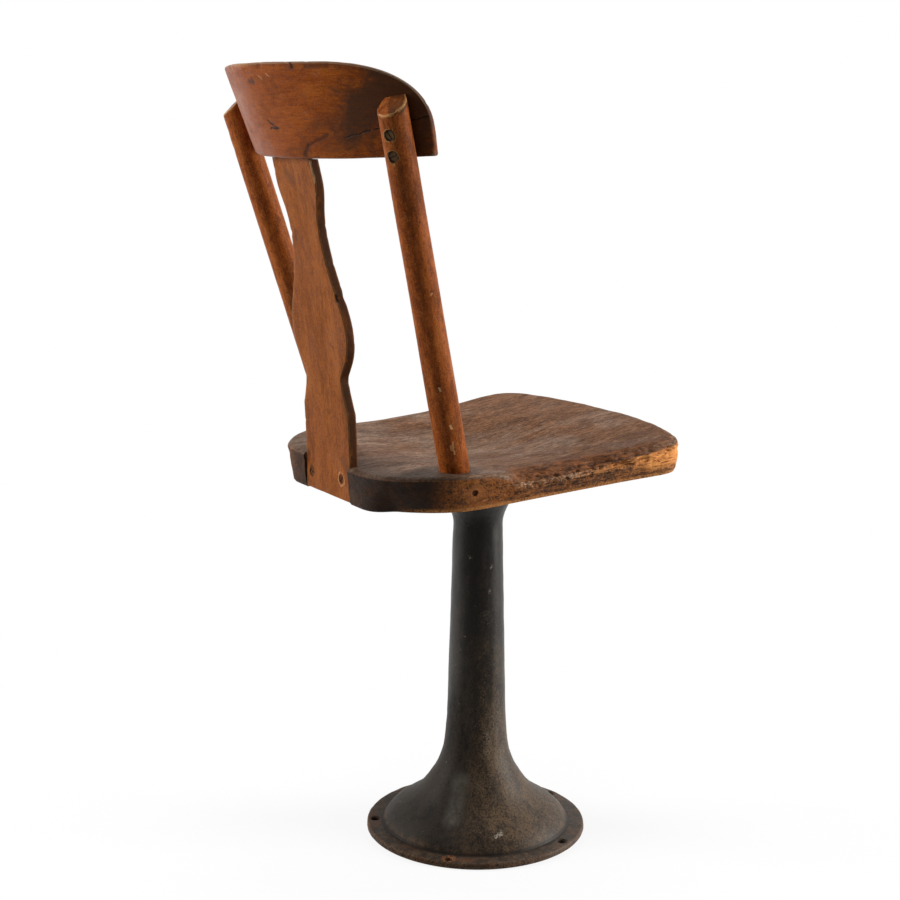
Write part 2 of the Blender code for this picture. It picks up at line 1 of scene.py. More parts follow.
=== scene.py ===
"""School chair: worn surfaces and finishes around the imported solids, with camera, light and floor.

Metres, +Z up, the sitter faces -Y. Shapes are drawn about the swivel axis and moved back by AXIS_Y.
"""
import json
from math import atan2, cos, degrees, exp, hypot, pi, radians, sin, tan
from types import SimpleNamespace

import bmesh
import bpy
import numpy as np
from mathutils import Matrix, Vector, noise


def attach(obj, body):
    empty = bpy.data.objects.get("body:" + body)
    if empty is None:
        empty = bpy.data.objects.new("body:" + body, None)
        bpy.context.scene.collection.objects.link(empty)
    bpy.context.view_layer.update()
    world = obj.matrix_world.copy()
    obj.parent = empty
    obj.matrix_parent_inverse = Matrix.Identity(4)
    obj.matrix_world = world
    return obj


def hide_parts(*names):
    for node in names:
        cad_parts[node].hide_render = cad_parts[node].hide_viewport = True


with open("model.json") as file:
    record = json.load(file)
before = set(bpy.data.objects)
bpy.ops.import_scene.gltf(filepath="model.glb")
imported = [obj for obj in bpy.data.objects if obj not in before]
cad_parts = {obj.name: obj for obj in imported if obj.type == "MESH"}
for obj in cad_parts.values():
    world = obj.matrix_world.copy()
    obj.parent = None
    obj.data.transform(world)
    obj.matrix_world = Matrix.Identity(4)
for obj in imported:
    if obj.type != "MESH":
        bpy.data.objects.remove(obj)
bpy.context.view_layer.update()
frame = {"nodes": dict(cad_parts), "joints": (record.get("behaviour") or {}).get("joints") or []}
AXIS_Y = frame["joints"][0]["pos_m"][1]

# Sizes that the solids share, named as in the part's source
FIT = 0.0003
FLANGE_R, FLANGE_T, BELL_R = 0.1185, 0.0065, 0.1005
HEAD_TOP, HEAD_R, HEAD_FLARE = 0.378, 0.036, 0.038
COLUMN_TOP_R, COLUMN_FOOT_R, COLUMN_FOOT_Z = 0.0262, 0.0322, 0.1064
WALL, BOSS_H, BORE_R = 0.0062, 0.078, 0.0151
HOLE_N, HOLE_R, HOLE_SINK, HOLE_TURN = 5, 0.0043, 0.0012, radians(133.3)
SEAT_Z, SEAT_TILT = 0.4008, radians(4.0)
SEAT_HALF, SEAT_TAPER, SEAT_FRONT, SEAT_FRONT_BOW, SEAT_BACK = 0.1612, 0.0484, 0.1704, 0.86, 0.1787
SEAT_UNDERCUT, SEAT_CORNER_LEAN, SEAT_FRONT_LEAN = 0.0055, 0.0060, 0.0034
SEAT_EDGE, SEAT_SCOOP, SEAT_RISE, DISH, SOCKET_DEPTH = 0.0370, 0.0070, 0.0002, 0.0095, 0.026
CHAIR_H, CREST_H, CREST_R, CREST_FLARE, CREST_CENTRE = 0.8100, 0.0879, 0.2672, 0.363, -0.0444
CREST_T, CREST_TIP_T = 0.021, 0.010
CREST_END, CREST_ROUND = radians(41.1), radians(18.0)
CREST_CORNER, CREST_SWEEP_LOW, CREST_SWEEP_TOP = 0.060, 0.0218, -0.0138
POST_INSET, POST_FOOT_Y, POST_FOOT_R, POST_TOP_R = 0.0342, 0.103, 0.0148, 0.0138
POST_DROP, POST_HOUSING = 0.0375, 0.0044
POST_ANGLE, POST_SLANT_TURN = radians(34.86), radians(17.0)
SPLAT_T, SPLAT_SET, SPLAT_HALF, SPLAT_SINK, SPLAT_LIFT = 0.0095, 0.0080, 0.0475, 0.0011, 0.002
TENON_T, TENON_HALF, TENON_LONG = 0.006, 0.033, 0.020
SCREW_R, SCREW_HEAD_R, SCREW_FIT, NAIL_HEAD_R, NAIL_SUNK = 0.0019, 0.0040, 0.0004, 0.0027, 0.0025
CREST_SCREW_UP, CREST_SCREW_TURN = (0.0266, 0.0084), radians(31.0)
SPLAT_SCREWS = ((0.036, 0.0185), (-0.029, 0.0225))
CREST_BOTTOM = CHAIR_H - CREST_H
NECK_Z = HEAD_TOP - HEAD_FLARE
SEAT = Matrix.Translation((0, 0, SEAT_Z)) @ Matrix.Rotation(-SEAT_TILT, 4, "X")
SEAT_IN = SEAT.inverted()

# Sizes of the scene alone. The post tops are cut less steeply than in the solid, as the photo shows them.
POST_SLANT, POST_EASE, POST_STAIN_TURN = radians(27.0), 0.0014, 0.7271723
SEAT_ROLL, SEAT_ROLL_WORN = 0.0046, 0.0120
FLANGE_LIP, CREST_TIP_EASE, SPLAT_EASE = 0.0024, 0.0022, 0.0010
NAIL_UP, ARM_HOLE_R, ARM_RING, HEAD_MOUTH = 0.0085, 0.0024, 0.086, 0.0056
DENT_Z, DENT_LONG, DENT_DEEP = 0.5915, 0.0040, 0.0010


def tone(r, g, b):
    """Linear colour from 8-bit screen values."""
    out = []
    for value in (r, g, b):
        c = value / 255
        out.append(c / 12.92 if c <= 0.04045 else ((c + 0.055) / 1.055) ** 2.4)
    return (*out, 1.0)


INK, SMOKE, SOOT = tone(16, 10, 6), tone(48, 27, 16), tone(22, 17, 13)
RUB, CHALK = tone(176, 132, 92), tone(186, 174, 156)


def smoothstep(a, b, x):
    t = min(1, max(0, (x - a) / (b - a)))
    return t * t * (3 - 2 * t)


# Shader graphs
class Wire:
    """An output in a graph. Signs between wires and numbers add the nodes that work them out."""

    def __init__(self, graph, socket):
        self.graph = graph
        self.socket = socket

    def __add__(self, other):
        return self.graph.math("ADD", self, other)

    def __sub__(self, other):
        return self.graph.math("SUBTRACT", self, other)

    def __mul__(self, other):
        return self.graph.math("MULTIPLY", self, other)


class Graph:
    """The nodes of a material or world and short ways to add to them."""

    def __init__(self, owner):
        owner.use_nodes = True
        self.owner = owner
        self.tree = owner.node_tree
        self.shader = self.tree.nodes.get("Principled BSDF")

    def put(self, socket, value):
        if isinstance(value, Wire):
            self.tree.links.new(value.socket, socket)
        else:
            socket.default_value = value

    def node(self, kind, inputs, **settings):
        node = self.tree.nodes.new("ShaderNode" + kind)
        for key, value in settings.items():
            setattr(node, key, value)
        for key, value in inputs.items():
            self.put(node.inputs[key], value)
        return node

    def add(self, kind, inputs, out=0, **settings):
        return Wire(self, self.node(kind, inputs, **settings).outputs[out])

    def math(self, operation, a, b=0.0, clamp=False):
        return self.add("Math", {0: a, 1: b}, operation=operation, use_clamp=clamp)

    def most(self, a, b):
        return self.math("MAXIMUM", a, b)

    def vector(self, operation, a, b=(0, 0, 0), out=0):
        return self.add("VectorMath", {0: a, 1: b}, out, operation=operation)

    def scaled(self, vector, share):
        return self.add("VectorMath", {0: vector, "Scale": share}, operation="SCALE")

    def mix(self, share, a, b, blend="MIX"):
        return self.add("Mix", {0: share, 6: a, 7: b}, 2, data_type="RGBA", blend_type=blend)

    def layered(self, colour, *coats):
        """A colour under coats of paint, each with its share."""
        for share, paint in coats:
            colour = self.mix(share, colour, paint)
        return colour

    def span(self, value, low, high, to_low=0.0, to_high=1.0):
        inputs = {0: value, 1: low, 2: high, 3: to_low, 4: to_high}
        return self.add("MapRange", inputs, interpolation_type="SMOOTHSTEP")

    def noise(self, vector, scale, detail, rough, distort=0.0):
        place = self.add("Mapping", {"Vector": vector, "Scale": scale})
        inputs = {"Vector": place, "Scale": 1, "Detail": detail, "Roughness": rough, "Distortion": distort}
        return self.add("TexNoise", inputs, "Fac")

    def ramp(self, share, *stops):
        node = self.node("ValToRGB", {0: share})
        elements = node.color_ramp.elements
        while len(elements) < len(stops):
            elements.new(0.5)
        for element, (place, colour) in zip(elements, stops):
            element.position = place
            element.color = colour
        return Wire(self, node.outputs[0])

    def attribute(self, name, kind="Fac"):
        return self.add("Attribute", {}, kind, attribute_name=name)

    def parts(self, vector):
        return [Wire(self, socket) for socket in self.node("SeparateXYZ", {0: vector}).outputs]

    def facing(self):
        return self.add("LayerWeight", {"Blend": 0.5}, "Facing")

    def from_line(self, vector, start, end):
        """Distance from the line between start and end."""
        run = Vector(end) - Vector(start)
        off = self.vector("SUBTRACT", vector, start)
        along = self.math("DIVIDE", self.vector("DOT_PRODUCT", off, run, 1), run.length_squared, True)
        return self.vector("LENGTH", self.vector("SUBTRACT", off, self.scaled(run, along)), out=1)

    def near_line(self, vector, start, end, core, edge):
        """1 on the line from start to end, falling to 0 at the distance edge."""
        return self.span(self.from_line(vector, start, end), core, edge, 1, 0)

    def bump(self, height, distance, strength):
        return self.add("Bump", {"Height": height, "Distance": distance, "Strength": strength})

    def finish(self, colour, rough, normal, specular, metal=0.0):
        values = {"Base Color": colour, "Roughness": rough, "Normal": normal,
                  "Specular IOR Level": specular, "Metallic": metal}
        for key, value in values.items():
            self.put(self.shader.inputs[key], value)
        return self.owner


# Meshes
def circle(steps):
    return [2 * pi * k / steps for k in range(steps)]


def quarter(steps):
    return [radians(90 * k / steps) for k in range(steps + 1)]


def settle(mesh, merge=0.0):
    """Turn all faces outwards, after joining the vertices that are closer than merge."""
    bm = bmesh.new()
    bm.from_mesh(mesh)
    if merge:
        bmesh.ops.remove_doubles(bm, verts=bm.verts, dist=merge)
    bmesh.ops.recalc_face_normals(bm, faces=bm.faces)
    bm.to_mesh(mesh)
    bm.free()


def add_object(name, data):
    ob = bpy.data.objects.new(name, data)
    bpy.context.scene.collection.objects.link(ob)
    return ob


def skin(name, rows, closed=True):
    """Object with faces over rings of equal count and, if it is closed, a fan over each end."""
    count = len(rows[0])
    last = (len(rows) - 1) * count
    verts = [Vector(p) for row in rows for p in row]
    faces = []
    for i in range(0, last, count):
        for k in range(count):
            m = (k + 1) % count
            faces.append((i + k, i + m, i + count + m, i + count + k))
    for first in (0, last) if closed else ():
        verts.append(sum(verts[first:first + count], Vector()) / count)
        faces += [(len(verts) - 1, first + k, first + (k + 1) % count) for k in range(count)]
    mesh = bpy.data.meshes.new(name)
    mesh.from_pydata([(v.x, v.y + AXIS_Y, v.z) for v in verts], [], faces)
    settle(mesh)
    return add_object(name, mesh)


def turned(name, profile, steps, place=Matrix.Identity(4)):
    """Turn a profile about Z. One that meets the axis at both ends is a solid, any other a closed ring."""
    solid = profile[0][0] == 0
    rows = [[place @ Vector((r * cos(a), r * sin(a), z)) for a in circle(steps)]
            for r, z in (profile[1:-1] if solid else profile + profile[:1])]
    ob = skin(name, rows, solid)
    settle(ob.data, 0.000001)
    return ob


def cut(ob, *cutters):
    """Take the cutters out of a mesh and drop them."""
    for cutter in cutters:
        mod = ob.modifiers.new(cutter.name, "BOOLEAN")
        mod.operation = "DIFFERENCE"
        mod.object = cutter
    bpy.context.view_layer.update()
    whole = ob.evaluated_get(bpy.context.evaluated_depsgraph_get())
    mesh = bpy.data.meshes.new_from_object(whole)
    ob.modifiers.clear()
    ob.data = mesh
    for cutter in cutters:
        bpy.data.objects.remove(cutter)


def frame_on(point, direction):
    turn = Vector(direction).normalized().to_track_quat("Z", "Y")
    return Matrix.Translation(point) @ turn.to_matrix().to_4x4()


def screw_cutter(name, place, wide, deep):
    """Countersink that opens to wide at the surface, above a clearance hole."""
    rh, rs = SCREW_HEAD_R + SCREW_FIT, SCREW_R + SCREW_FIT
    return turned(name, [(0, -0.012), (wide + 0.003, -0.012), (wide, -0.0013), (rh, 0), (rh, 0.0008),
                         (rs, 0.0030), (rs, deep), (0, deep)], 24, place)


def from_axis(co):
    return Vector((co.x, co.y - AXIS_Y, co.z))


def write(mesh, name, values):
    """A number or a place, kept with each vertex."""
    values = np.asarray(values, np.float32)
    kind, key = ("FLOAT", "value") if values.ndim == 1 else ("FLOAT_VECTOR", "vector")
    mesh.attributes.new(name, kind, "POINT").data.foreach_set(key, values.ravel())


def curvature(mesh, blur):
    """Signed curvature of each vertex in 1/m, positive on outer edges, spread over a few neighbours."""
    count = len(mesh.vertices)
    co, normal = np.zeros(count * 3), np.zeros(count * 3)
    mesh.vertices.foreach_get("co", co)
    mesh.vertices.foreach_get("normal", normal)
    co, normal = co.reshape(-1, 3), normal.reshape(-1, 3)
    ends = np.zeros(len(mesh.edges) * 2, int)
    mesh.edges.foreach_get("vertices", ends)
    a, b = ends.reshape(-1, 2).T
    gap = co[a] - co[b]
    length2 = np.maximum((gap ** 2).sum(1), 1e-8)
    total, hits = np.zeros(count), np.zeros(count)
    for end, sign in ((a, 2), (b, -2)):
        np.add.at(total, end, sign * (gap * normal[end]).sum(1) / length2)
        np.add.at(hits, end, 1)
    value = total / np.maximum(hits, 1)
    for _ in range(blur):
        total = value.copy()
        np.add.at(total, a, value[b])
        np.add.at(total, b, value[a])
        value = total / (hits + 1)
    return value


def dress(ob, body, node, look, grain, stain=None, rub=None):
    """Attributes, shading, finish and place in the frame for a finished piece."""
    mesh = ob.data
    mesh.materials.clear()
    mesh.materials.append(look)
    spots = [from_axis(v.co) for v in mesh.vertices]
    bend = curvature(mesh, 2)
    rubbed = np.array([rub(p) if rub else 0.0 for p in spots])
    write(mesh, "edge", np.clip((bend - 48) / 130, 0, 1) + rubbed)
    # Darkness in hollows from concave curvature: partly grime, partly painted shade where creases and joints
    # would be shaded
    write(mesh, "hollow_dirt_and_shade", np.clip((-bend - 60) / 300, 0, 1))
    write(mesh, "grain", [grain(p) for p in spots])
    write(mesh, "stain", [stain(p) if stain else 0.0 for p in spots])
    mesh.shade_smooth()
    mesh.set_sharp_from_angle(angle=radians(40))
    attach(ob, body)
    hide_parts(node)
    return ob


def shift(ob, move):
    """Move each vertex along its normal by a small amount worked out from its place."""
    normals = [v.normal.copy() for v in ob.data.vertices]
    for v, n in zip(ob.data.vertices, normals):
        v.co += n * move(from_axis(v.co), n)


def spread(points, count):
    """Closed outline resampled at even steps."""
    points = points + points[:1]
    reach = [0.0]
    for a, b in zip(points, points[1:]):
        reach.append(reach[-1] + (b - a).length)
    out, i = [], 0
    for k in range(count):
        want = reach[-1] * k / count
        while reach[i + 1] < want:
            i += 1
        t = (want - reach[i]) / (reach[i + 1] - reach[i])
        out.append(points[i].lerp(points[i + 1], t))
    return out


def through(points, steps):
    """Smooth curve through profile points."""
    out = []
    for i in range(len(points) - 1):
        a, b = Vector(points[i]), Vector(points[i + 1])
        before = Vector(points[i - 1]) if i else a * 2 - b
        after = Vector(points[i + 2]) if i + 2 < len(points) else b * 2 - a
        for t in (k / steps for k in range(steps)):
            out.append(tuple(0.5 * (2 * a + (b - before) * t + (2 * before - 5 * a + 4 * b - after) * t * t
                                    + (3 * a - before - 3 * b + after) * t ** 3)))
    return out + [tuple(points[-1])]


# Pedestal
def column_r(z):
    share = (z - COLUMN_FOOT_Z) / (NECK_Z - COLUMN_FOOT_Z)
    return COLUMN_FOOT_R + (COLUMN_TOP_R - COLUMN_FOOT_R) * share


def bell_points():
    foot = ((0.992, 0.0098), (0.964, 0.0143), (0.920, 0.0192), (0.860, 0.0242), (0.780, 0.0296),
            (0.697, 0.0352), (0.617, 0.0420), (0.552, 0.0498))
    neck = ((1.503, 0.0604), (1.330, 0.0696), (1.207, 0.0788), (1.116, 0.0881), (1.060, 0.0985),
            (1.024, 0.1120))
    return [(BELL_R * s, z) for s, z in foot] + [(COLUMN_FOOT_R * s, z) for s, z in neck]


def pedestal_profile():
    """Outside from the floor up to the head, then inside down again."""
    flat = FLANGE_R - FLANGE_LIP
    rim = [(FLANGE_R - 0.0006, 0), (FLANGE_R, 0.0006)]
    rim += [(flat + FLANGE_LIP * cos(a), FLANGE_T - FLANGE_LIP + FLANGE_LIP * sin(a)) for a in quarter(6)]
    ring = [(flat - (flat - BELL_R - 0.0022) * k / 5, FLANGE_T + 0.0003 * k / 5) for k in range(1, 6)]
    ring += [(BELL_R + 0.0009, FLANGE_T + 0.0006), (BELL_R + 0.0002, FLANGE_T + 0.0014)]
    shaft = [(column_r(z), z) for z in (COLUMN_FOOT_Z + 0.022, 0.160, 0.200, 0.240, 0.280, 0.320, NECK_Z)]
    head = [(COLUMN_TOP_R + 0.0014, NECK_Z + 0.009), (COLUMN_TOP_R + 0.0040, NECK_Z + 0.016),
            (HEAD_R - 0.0022, HEAD_TOP - 0.0145), (HEAD_R, HEAD_TOP - 0.0100)]
    outer = rim + ring + through([(BELL_R, FLANGE_T + 0.0024)] + bell_points() + shaft + head, 6)
    outer += [(HEAD_R, HEAD_TOP - 0.0030), (HEAD_R - 0.0010, HEAD_TOP - 0.0008), (HEAD_R - 0.0025, HEAD_TOP)]
    boss = HEAD_TOP - BOSS_H
    inner = [(BORE_R, HEAD_TOP), (BORE_R, boss), (column_r(boss) - WALL, boss)]
    inner += [(r - WALL, z - 0.0010) for r, z in reversed(bell_points())] + [(BELL_R - WALL, 0)]
    return outer + inner


def floor_holes():
    wide = HOLE_R + HOLE_SINK + 0.0010
    profile = [(0, -0.002), (HOLE_R, -0.002), (HOLE_R, FLANGE_T - HOLE_SINK), (wide, FLANGE_T + 0.0006),
               (wide, 0.013), (0, 0.013)]
    out = Matrix.Translation(((FLANGE_R + BELL_R) / 2, 0, 0))
    turns = [Matrix.Rotation(HOLE_TURN + 2 * pi * i / HOLE_N, 4, "Z") for i in range(HOLE_N)]
    return [turned(f"hole_{i}", profile, 28, turn @ out) for i, turn in enumerate(turns)]


def casting(p, n):
    """Uneven outer skin, even where the pedestal meets the floor and the seat's bearing."""
    if p.z < 0.0005 or p.z > HEAD_TOP - 0.0005 or n.x * p.x + n.y * p.y < -0.3 * hypot(p.x, p.y):
        return 0.0
    return 0.00030 * noise.noise(p * 70) + 0.00014 * noise.noise(p * 240)


def make_pedestal(look):
    ob = turned("cast_pedestal", pedestal_profile(), 160)
    shift(ob, casting)
    cut(ob, *floor_holes())

    def rub(p):
        return -1.0 if p.z < 0.013 and hypot(p.x, p.y) < FLANGE_R - 0.006 else 0.0

    return dress(ob, "pedestal", "pedestal", look, lambda p: p, rub=rub)


# Seat
def seat_half(v):
    return SEAT_HALF - SEAT_TAPER * v


def rounded(start, corner, end, steps, pull):
    c0, c1 = start.lerp(corner, pull), end.lerp(corner, pull)
    out = []
    for t in (i / steps for i in range(steps + 1)):
        u = 1 - t
        out.append(start * u ** 3 + c0 * 3 * t * u * u + c1 * 3 * t * t * u + end * t ** 3)
    return out


def seat_outline(count):
    x1, vs = SEAT_HALF * 0.68, -SEAT_FRONT * 0.68
    half = [Vector((x, -SEAT_FRONT + SEAT_FRONT_BOW * x * x)) for x in (x1 * i / 40 for i in range(40))]
    a, b = Vector((x1, -SEAT_FRONT + SEAT_FRONT_BOW * x1 * x1)), Vector((seat_half(vs), vs))
    slope = 2 * SEAT_FRONT_BOW * x1
    run = (b.x + SEAT_TAPER * b.y - a.x - SEAT_TAPER * a.y) / (1 + SEAT_TAPER * slope)
    half += rounded(a, Vector((a.x + run, a.y + slope * run)), b, 60, 0.78)
    vb, xb = SEAT_BACK * 0.45, SEAT_HALF * 0.42
    half += rounded(Vector((seat_half(vb), vb)), Vector((seat_half(SEAT_BACK), SEAT_BACK)),
                    Vector((xb, SEAT_BACK)), 60, 0.56)
    half.append(Vector((0, SEAT_BACK)))
    return spread(half + [Vector((-p.x, p.y)) for p in half[-2:0:-1]], count)


def seat_top(x, v):
    rim = SEAT_EDGE - SEAT_SCOOP * (1 - smoothstep(0.02, SEAT_BACK * 0.8, v))
    rim += (SEAT_SCOOP + SEAT_RISE) * smoothstep(0.02, SEAT_FRONT, -v)
    u = (x / (SEAT_HALF * 0.80)) ** 2 + ((v - 0.022) / (SEAT_BACK * 0.66)) ** 2
    return rim - DISH * max(0, 1 - u) ** 2 * (1 + u)


def inset(p, d):
    return p * (1 - d / p.length)


def undercut(p):
    lean = SEAT_UNDERCUT + SEAT_CORNER_LEAN * smoothstep(SEAT_BACK * 0.6, SEAT_BACK * 0.92, p.y)
    lean += (SEAT_FRONT_LEAN - SEAT_UNDERCUT) * smoothstep(SEAT_FRONT * 0.4, SEAT_FRONT * 0.8, -p.y)
    return lean * (1 - smoothstep(SEAT_BACK * 0.93, SEAT_BACK, p.y))


BACK_EDGE = SEAT @ Vector((0, SEAT_BACK, 0))
SPLAT_FOOT_Y = BACK_EDGE.y - SPLAT_SINK
POST_V = POST_FOOT_Y / cos(SEAT_TILT)
POST_X = seat_half(POST_V) - POST_INSET


def edge_use(x, v):
    """How far the upper edge is worn round: most on the near side and the front."""
    near = smoothstep(-0.060, -0.120, x) * smoothstep(0.085, 0.040, v)
    front = smoothstep(0.100, 0.150, -v)
    return max(near * (1 - 0.35 * smoothstep(0, 0.15, -v)), 0.4 * front)


def seat_rows(rim):
    """Rings over the dished top, the worn edge, the undercut wall and the underside."""
    ease = []
    for p in rim:
        uneven = 0.85 + 0.5 * noise.noise((p.x * 32, p.y * 32, 3))
        ease.append(SEAT_ROLL + SEAT_ROLL_WORN * edge_use(p.x, p.y) * uneven)
    rows = [[(*(p * t), seat_top(*(p * t))) for p in rim] for t in (0.04 + 0.77 * k / 42 for k in range(43))]
    for a in quarter(20):
        ring = []
        for p, r in zip(rim, ease):
            q = inset(p, 1.4 * r * (1 - sin(a)))
            ring.append((*q, seat_top(*q) - r * (1 - cos(a))))
        rows.append(ring)
    for t in (k / 13 for k in range(1, 14)):
        rows.append([(*inset(p, undercut(p) * t ** 1.2 - 0.0006 * sin(pi * t)),
                      (seat_top(*p) - r) * (1 - t) + 0.0026 * t) for p, r in zip(rim, ease)])
    for d, w in ((0.0003, 0.0014), (0.0010, 0.0005), (0.0024, 0)):
        rows.append([(*inset(p, undercut(p) + d), w) for p in rim])
    rows += [[(p.x * t, p.y * t, 0) for p in rim] for t in (0.8, 0.55, 0.25)]
    return [[SEAT @ Vector(p) for p in row] for row in rows]


def seat_wear(p, n):
    """Chips along the upper edge, torn layers on the wall and a ragged lower edge."""
    q = SEAT_IN @ p
    if q.z < 0.0004:
        return 0.0
    drop = seat_top(q.x, q.y) - q.z
    use = edge_use(q.x, q.y)
    arris = smoothstep(0, 0.0050, drop) * (1 - smoothstep(0.014, 0.020, drop))
    wall = smoothstep(0.003, 0.010, drop)
    low = 1 - smoothstep(0.001, 0.007, q.z)
    calm = 1 - 0.7 * smoothstep(-0.110, -0.140, q.y)
    chip = max(0, noise.noise((q.x * 85, q.y * 60, q.z * 130)) - 0.08)
    nick = max(0, noise.noise((q.x * 230 + 7, q.y * 190, q.z * 300)) - 0.10)
    layer = max(0, noise.noise((q.x * 16, q.y * 16, q.z * 230 + 5)))
    move = 0.00040 * noise.noise(p * 28) + 0.00014 * noise.noise(p * 120)
    move -= arris * (0.25 + use) * (0.0050 * chip + 0.0030 * nick)
    move -= wall * calm * (0.25 + 0.75 * use) * (0.0018 * layer + 0.0012 * nick)
    return move - low * 0.0016 * chip - 0.0008 * wall


def block(name, low, high):
    (x0, y0, z0), (x1, y1, z1) = low, high
    return skin(name, [[(x0, y0, z), (x1, y0, z), (x1, y1, z), (x0, y1, z)] for z in (z0, z1)])


def nail_spot(side, sunk=0.0):
    """Where the nail of a post meets the side of the seat, or deeper in."""
    end, axis, _, _ = post_place(side)
    hit = end + axis * NAIL_UP
    return Vector((side * (seat_half(POST_V) - SEAT_UNDERCUT * 0.6 - sunk), hit.y, hit.z))


def seat_cutters():
    """Notch for the splat, sockets and nail holes for the posts, screw holes for the spider's arms."""
    wide, nail = SPLAT_HALF + FIT, NAIL_HEAD_R + SCREW_FIT
    cutters = [block("notch", (-wide, SPLAT_FOOT_Y - SPLAT_T - FIT, BACK_EDGE.z - 0.03),
                     (wide, SPLAT_FOOT_Y + SPLAT_T, BACK_EDGE.z + 0.07))]
    for side, hand in ((1.0, "left"), (-1.0, "right")):
        _, _, long, place = post_place(side)
        rings = [post_ring(place, long, s, FIT, steps=48) for s in (-FIT, 0.056)]
        cutters.append(skin(f"{hand}_socket", rings))
        profile = [(0, -0.02), (nail, -0.02), (nail, 0.0016), (0, 0.0022)]
        at = frame_on(nail_spot(side, NAIL_SUNK), (-side, 0, 0))
        cutters.append(turned(f"{hand}_nail_hole", profile, 20, at))
    profile = [(0, -0.004), (ARM_HOLE_R, -0.004), (ARM_HOLE_R, 0.013), (0, 0.013)]
    for i in range(4):
        a = radians(45 + 90 * i)
        at = SEAT @ Matrix.Translation((ARM_RING * cos(a), ARM_RING * sin(a), 0))
        cutters.append(turned(f"arm_hole_{i}", profile, 16, at))
    return cutters


def write_zones(mesh, rim):
    """For each vertex: on the wall, worn, height in the wall, and nearness to the rim."""
    turns = np.array(sorted((atan2(p.y, p.x), p.length) for p in rim))
    zones, near_rim = [], []
    for v in mesh.vertices:
        q = SEAT_IN @ from_axis(v.co)
        drop = seat_top(q.x, q.y) - q.z
        use = edge_use(q.x, q.y)
        roll = SEAT_ROLL + SEAT_ROLL_WORN * use
        gap = np.interp(atan2(q.y, q.x), turns[:, 0], turns[:, 1]) - hypot(q.x, q.y)
        near_rim.append(smoothstep(0.046, 0.012, gap))
        zones.append((smoothstep(0.1 * roll, roll, drop), use, q.z / max(0.01, q.z + drop)))
    write(mesh, "zone", zones)
    write(mesh, "rim", near_rim)


def make_seat(look):
    rim = seat_outline(760)
    ob = skin("dished_seat", seat_rows(rim))
    shift(ob, seat_wear)
    cut(ob, *seat_cutters())
    dress(ob, "seat", "seat", look, lambda p: SEAT_IN @ p)
    write_zones(ob.data, rim)


# Crest rail
def crest_r(z):
    return CREST_R + CREST_FLARE * (z - CREST_BOTTOM)


def crest_low(t):
    return CREST_BOTTOM + CREST_SWEEP_LOW * (1 - cos(t))


def crest_high(t):
    z = CHAIR_H + CREST_SWEEP_TOP * (1 - cos(t))
    u = min(1, max(0, (abs(t) - CREST_ROUND) / (CREST_END - CREST_ROUND)))
    return z - CREST_CORNER * (1 - (1 - u ** 2.7) ** (1 / 2.7))


def crest_t(t):
    return CREST_T + (CREST_TIP_T - CREST_T) * smoothstep(CREST_ROUND, CREST_END, abs(t))


def crest_point(t, z, depth):
    r = crest_r(z) - depth
    return Vector((r * sin(t), CREST_CENTRE + r * cos(t), z))


def crest_turns(straight, bent):
    rest = CREST_END - CREST_ROUND
    half = [CREST_ROUND * i / straight for i in range(straight)]
    half += [CREST_ROUND + rest * sin(pi / 2 * i / bent) ** 0.8 for i in range(bent + 1)]
    return [-t for t in reversed(half[1:])] + half


def crest_section(t, less):
    """Ring round the rail at turn t with eased edges, drawn in by less."""
    low, high, thick = crest_low(t) + less, crest_high(t) - less, crest_t(t) - 2 * less
    ease = max(0.0004, 0.0024 - less)
    soft = max(0.0006, 0.0026 - less)
    inner = max(0.0008, 0.55 * crest_t(t) - less)
    fall = 0.7 * inner
    arc = quarter(6)
    flat = [k / 22 for k in range(1, 22)]
    ring = [(soft - soft * cos(a), high - soft + soft * sin(a)) for a in arc]
    ring += [(soft + (thick - soft - inner) * k / 6, high) for k in range(1, 6)]
    ring += [(thick - inner + inner * sin(a), high - fall + fall * cos(a)) for a in arc]
    ring += [(thick, high - fall - (high - low - fall - ease) * k) for k in flat]
    ring += [(thick - ease + ease * cos(a), low + ease - ease * sin(a)) for a in arc]
    ring += [(thick - ease - (thick - 2 * ease) * k / 6, low) for k in range(1, 6)]
    ring += [(ease - ease * sin(a), low + ease - ease * cos(a)) for a in arc]
    ring += [(0, low + ease + (high - low - soft - ease) * k) for k in flat]
    return [crest_point(t, z, depth + less) for depth, z in ring]


def crest_turn(p):
    return atan2(p.x, p.y - CREST_CENTRE)


def crest_grain(p):
    """Along the bend, up the face and into the wood."""
    into = hypot(p.x, p.y - CREST_CENTRE) - crest_r(p.z)
    return Vector((crest_turn(p) * CREST_R, p.z - CREST_BOTTOM, into))


def on_crest(turn_deg, z):
    return (radians(turn_deg) * CREST_R, z - CREST_BOTTOM, 0)


def crest_stain_and_shade(p):
    """Dark cloud round the near post, a darker near end and dark upper edge, which are stains, and painted
    shade on the rail just beside the near post.
    """
    t, up = degrees(crest_turn(p)), p.z - CREST_BOTTOM
    cloud = exp(-((t + 31) / 8.5) ** 2 - ((up - 0.052) / 0.023) ** 2)
    below = 0.5 * exp(-((t + 24) / 6) ** 2 - ((up - 0.020) / 0.018) ** 2)
    # Painted shade on the rail at the side of the near post, where the post stands in front of it
    behind = exp(-((t + 36.5) / 3) ** 2)
    edge = 0.4 * smoothstep(0.010, 0.002, crest_high(radians(max(-41, min(41, t)))) - p.z)
    face = 0.25 + 0.75 * smoothstep(-0.009, -0.003, crest_grain(p).z)
    soft = 0.16 * smoothstep(8, -22, t)
    return face * min(1, soft + cloud + below + 0.8 * behind + 0.45 * smoothstep(-33, -39, t) + edge)


def crest_wear(p, n):
    edge = smoothstep(0.012, 0, crest_high(crest_turn(p)) - p.z)
    nick = max(0, noise.noise(p * 95) - 0.25) * 0.0022
    return 0.00035 * noise.noise(p * 22) + 0.00010 * noise.noise(p * 110) - edge * (nick + 0.0003)


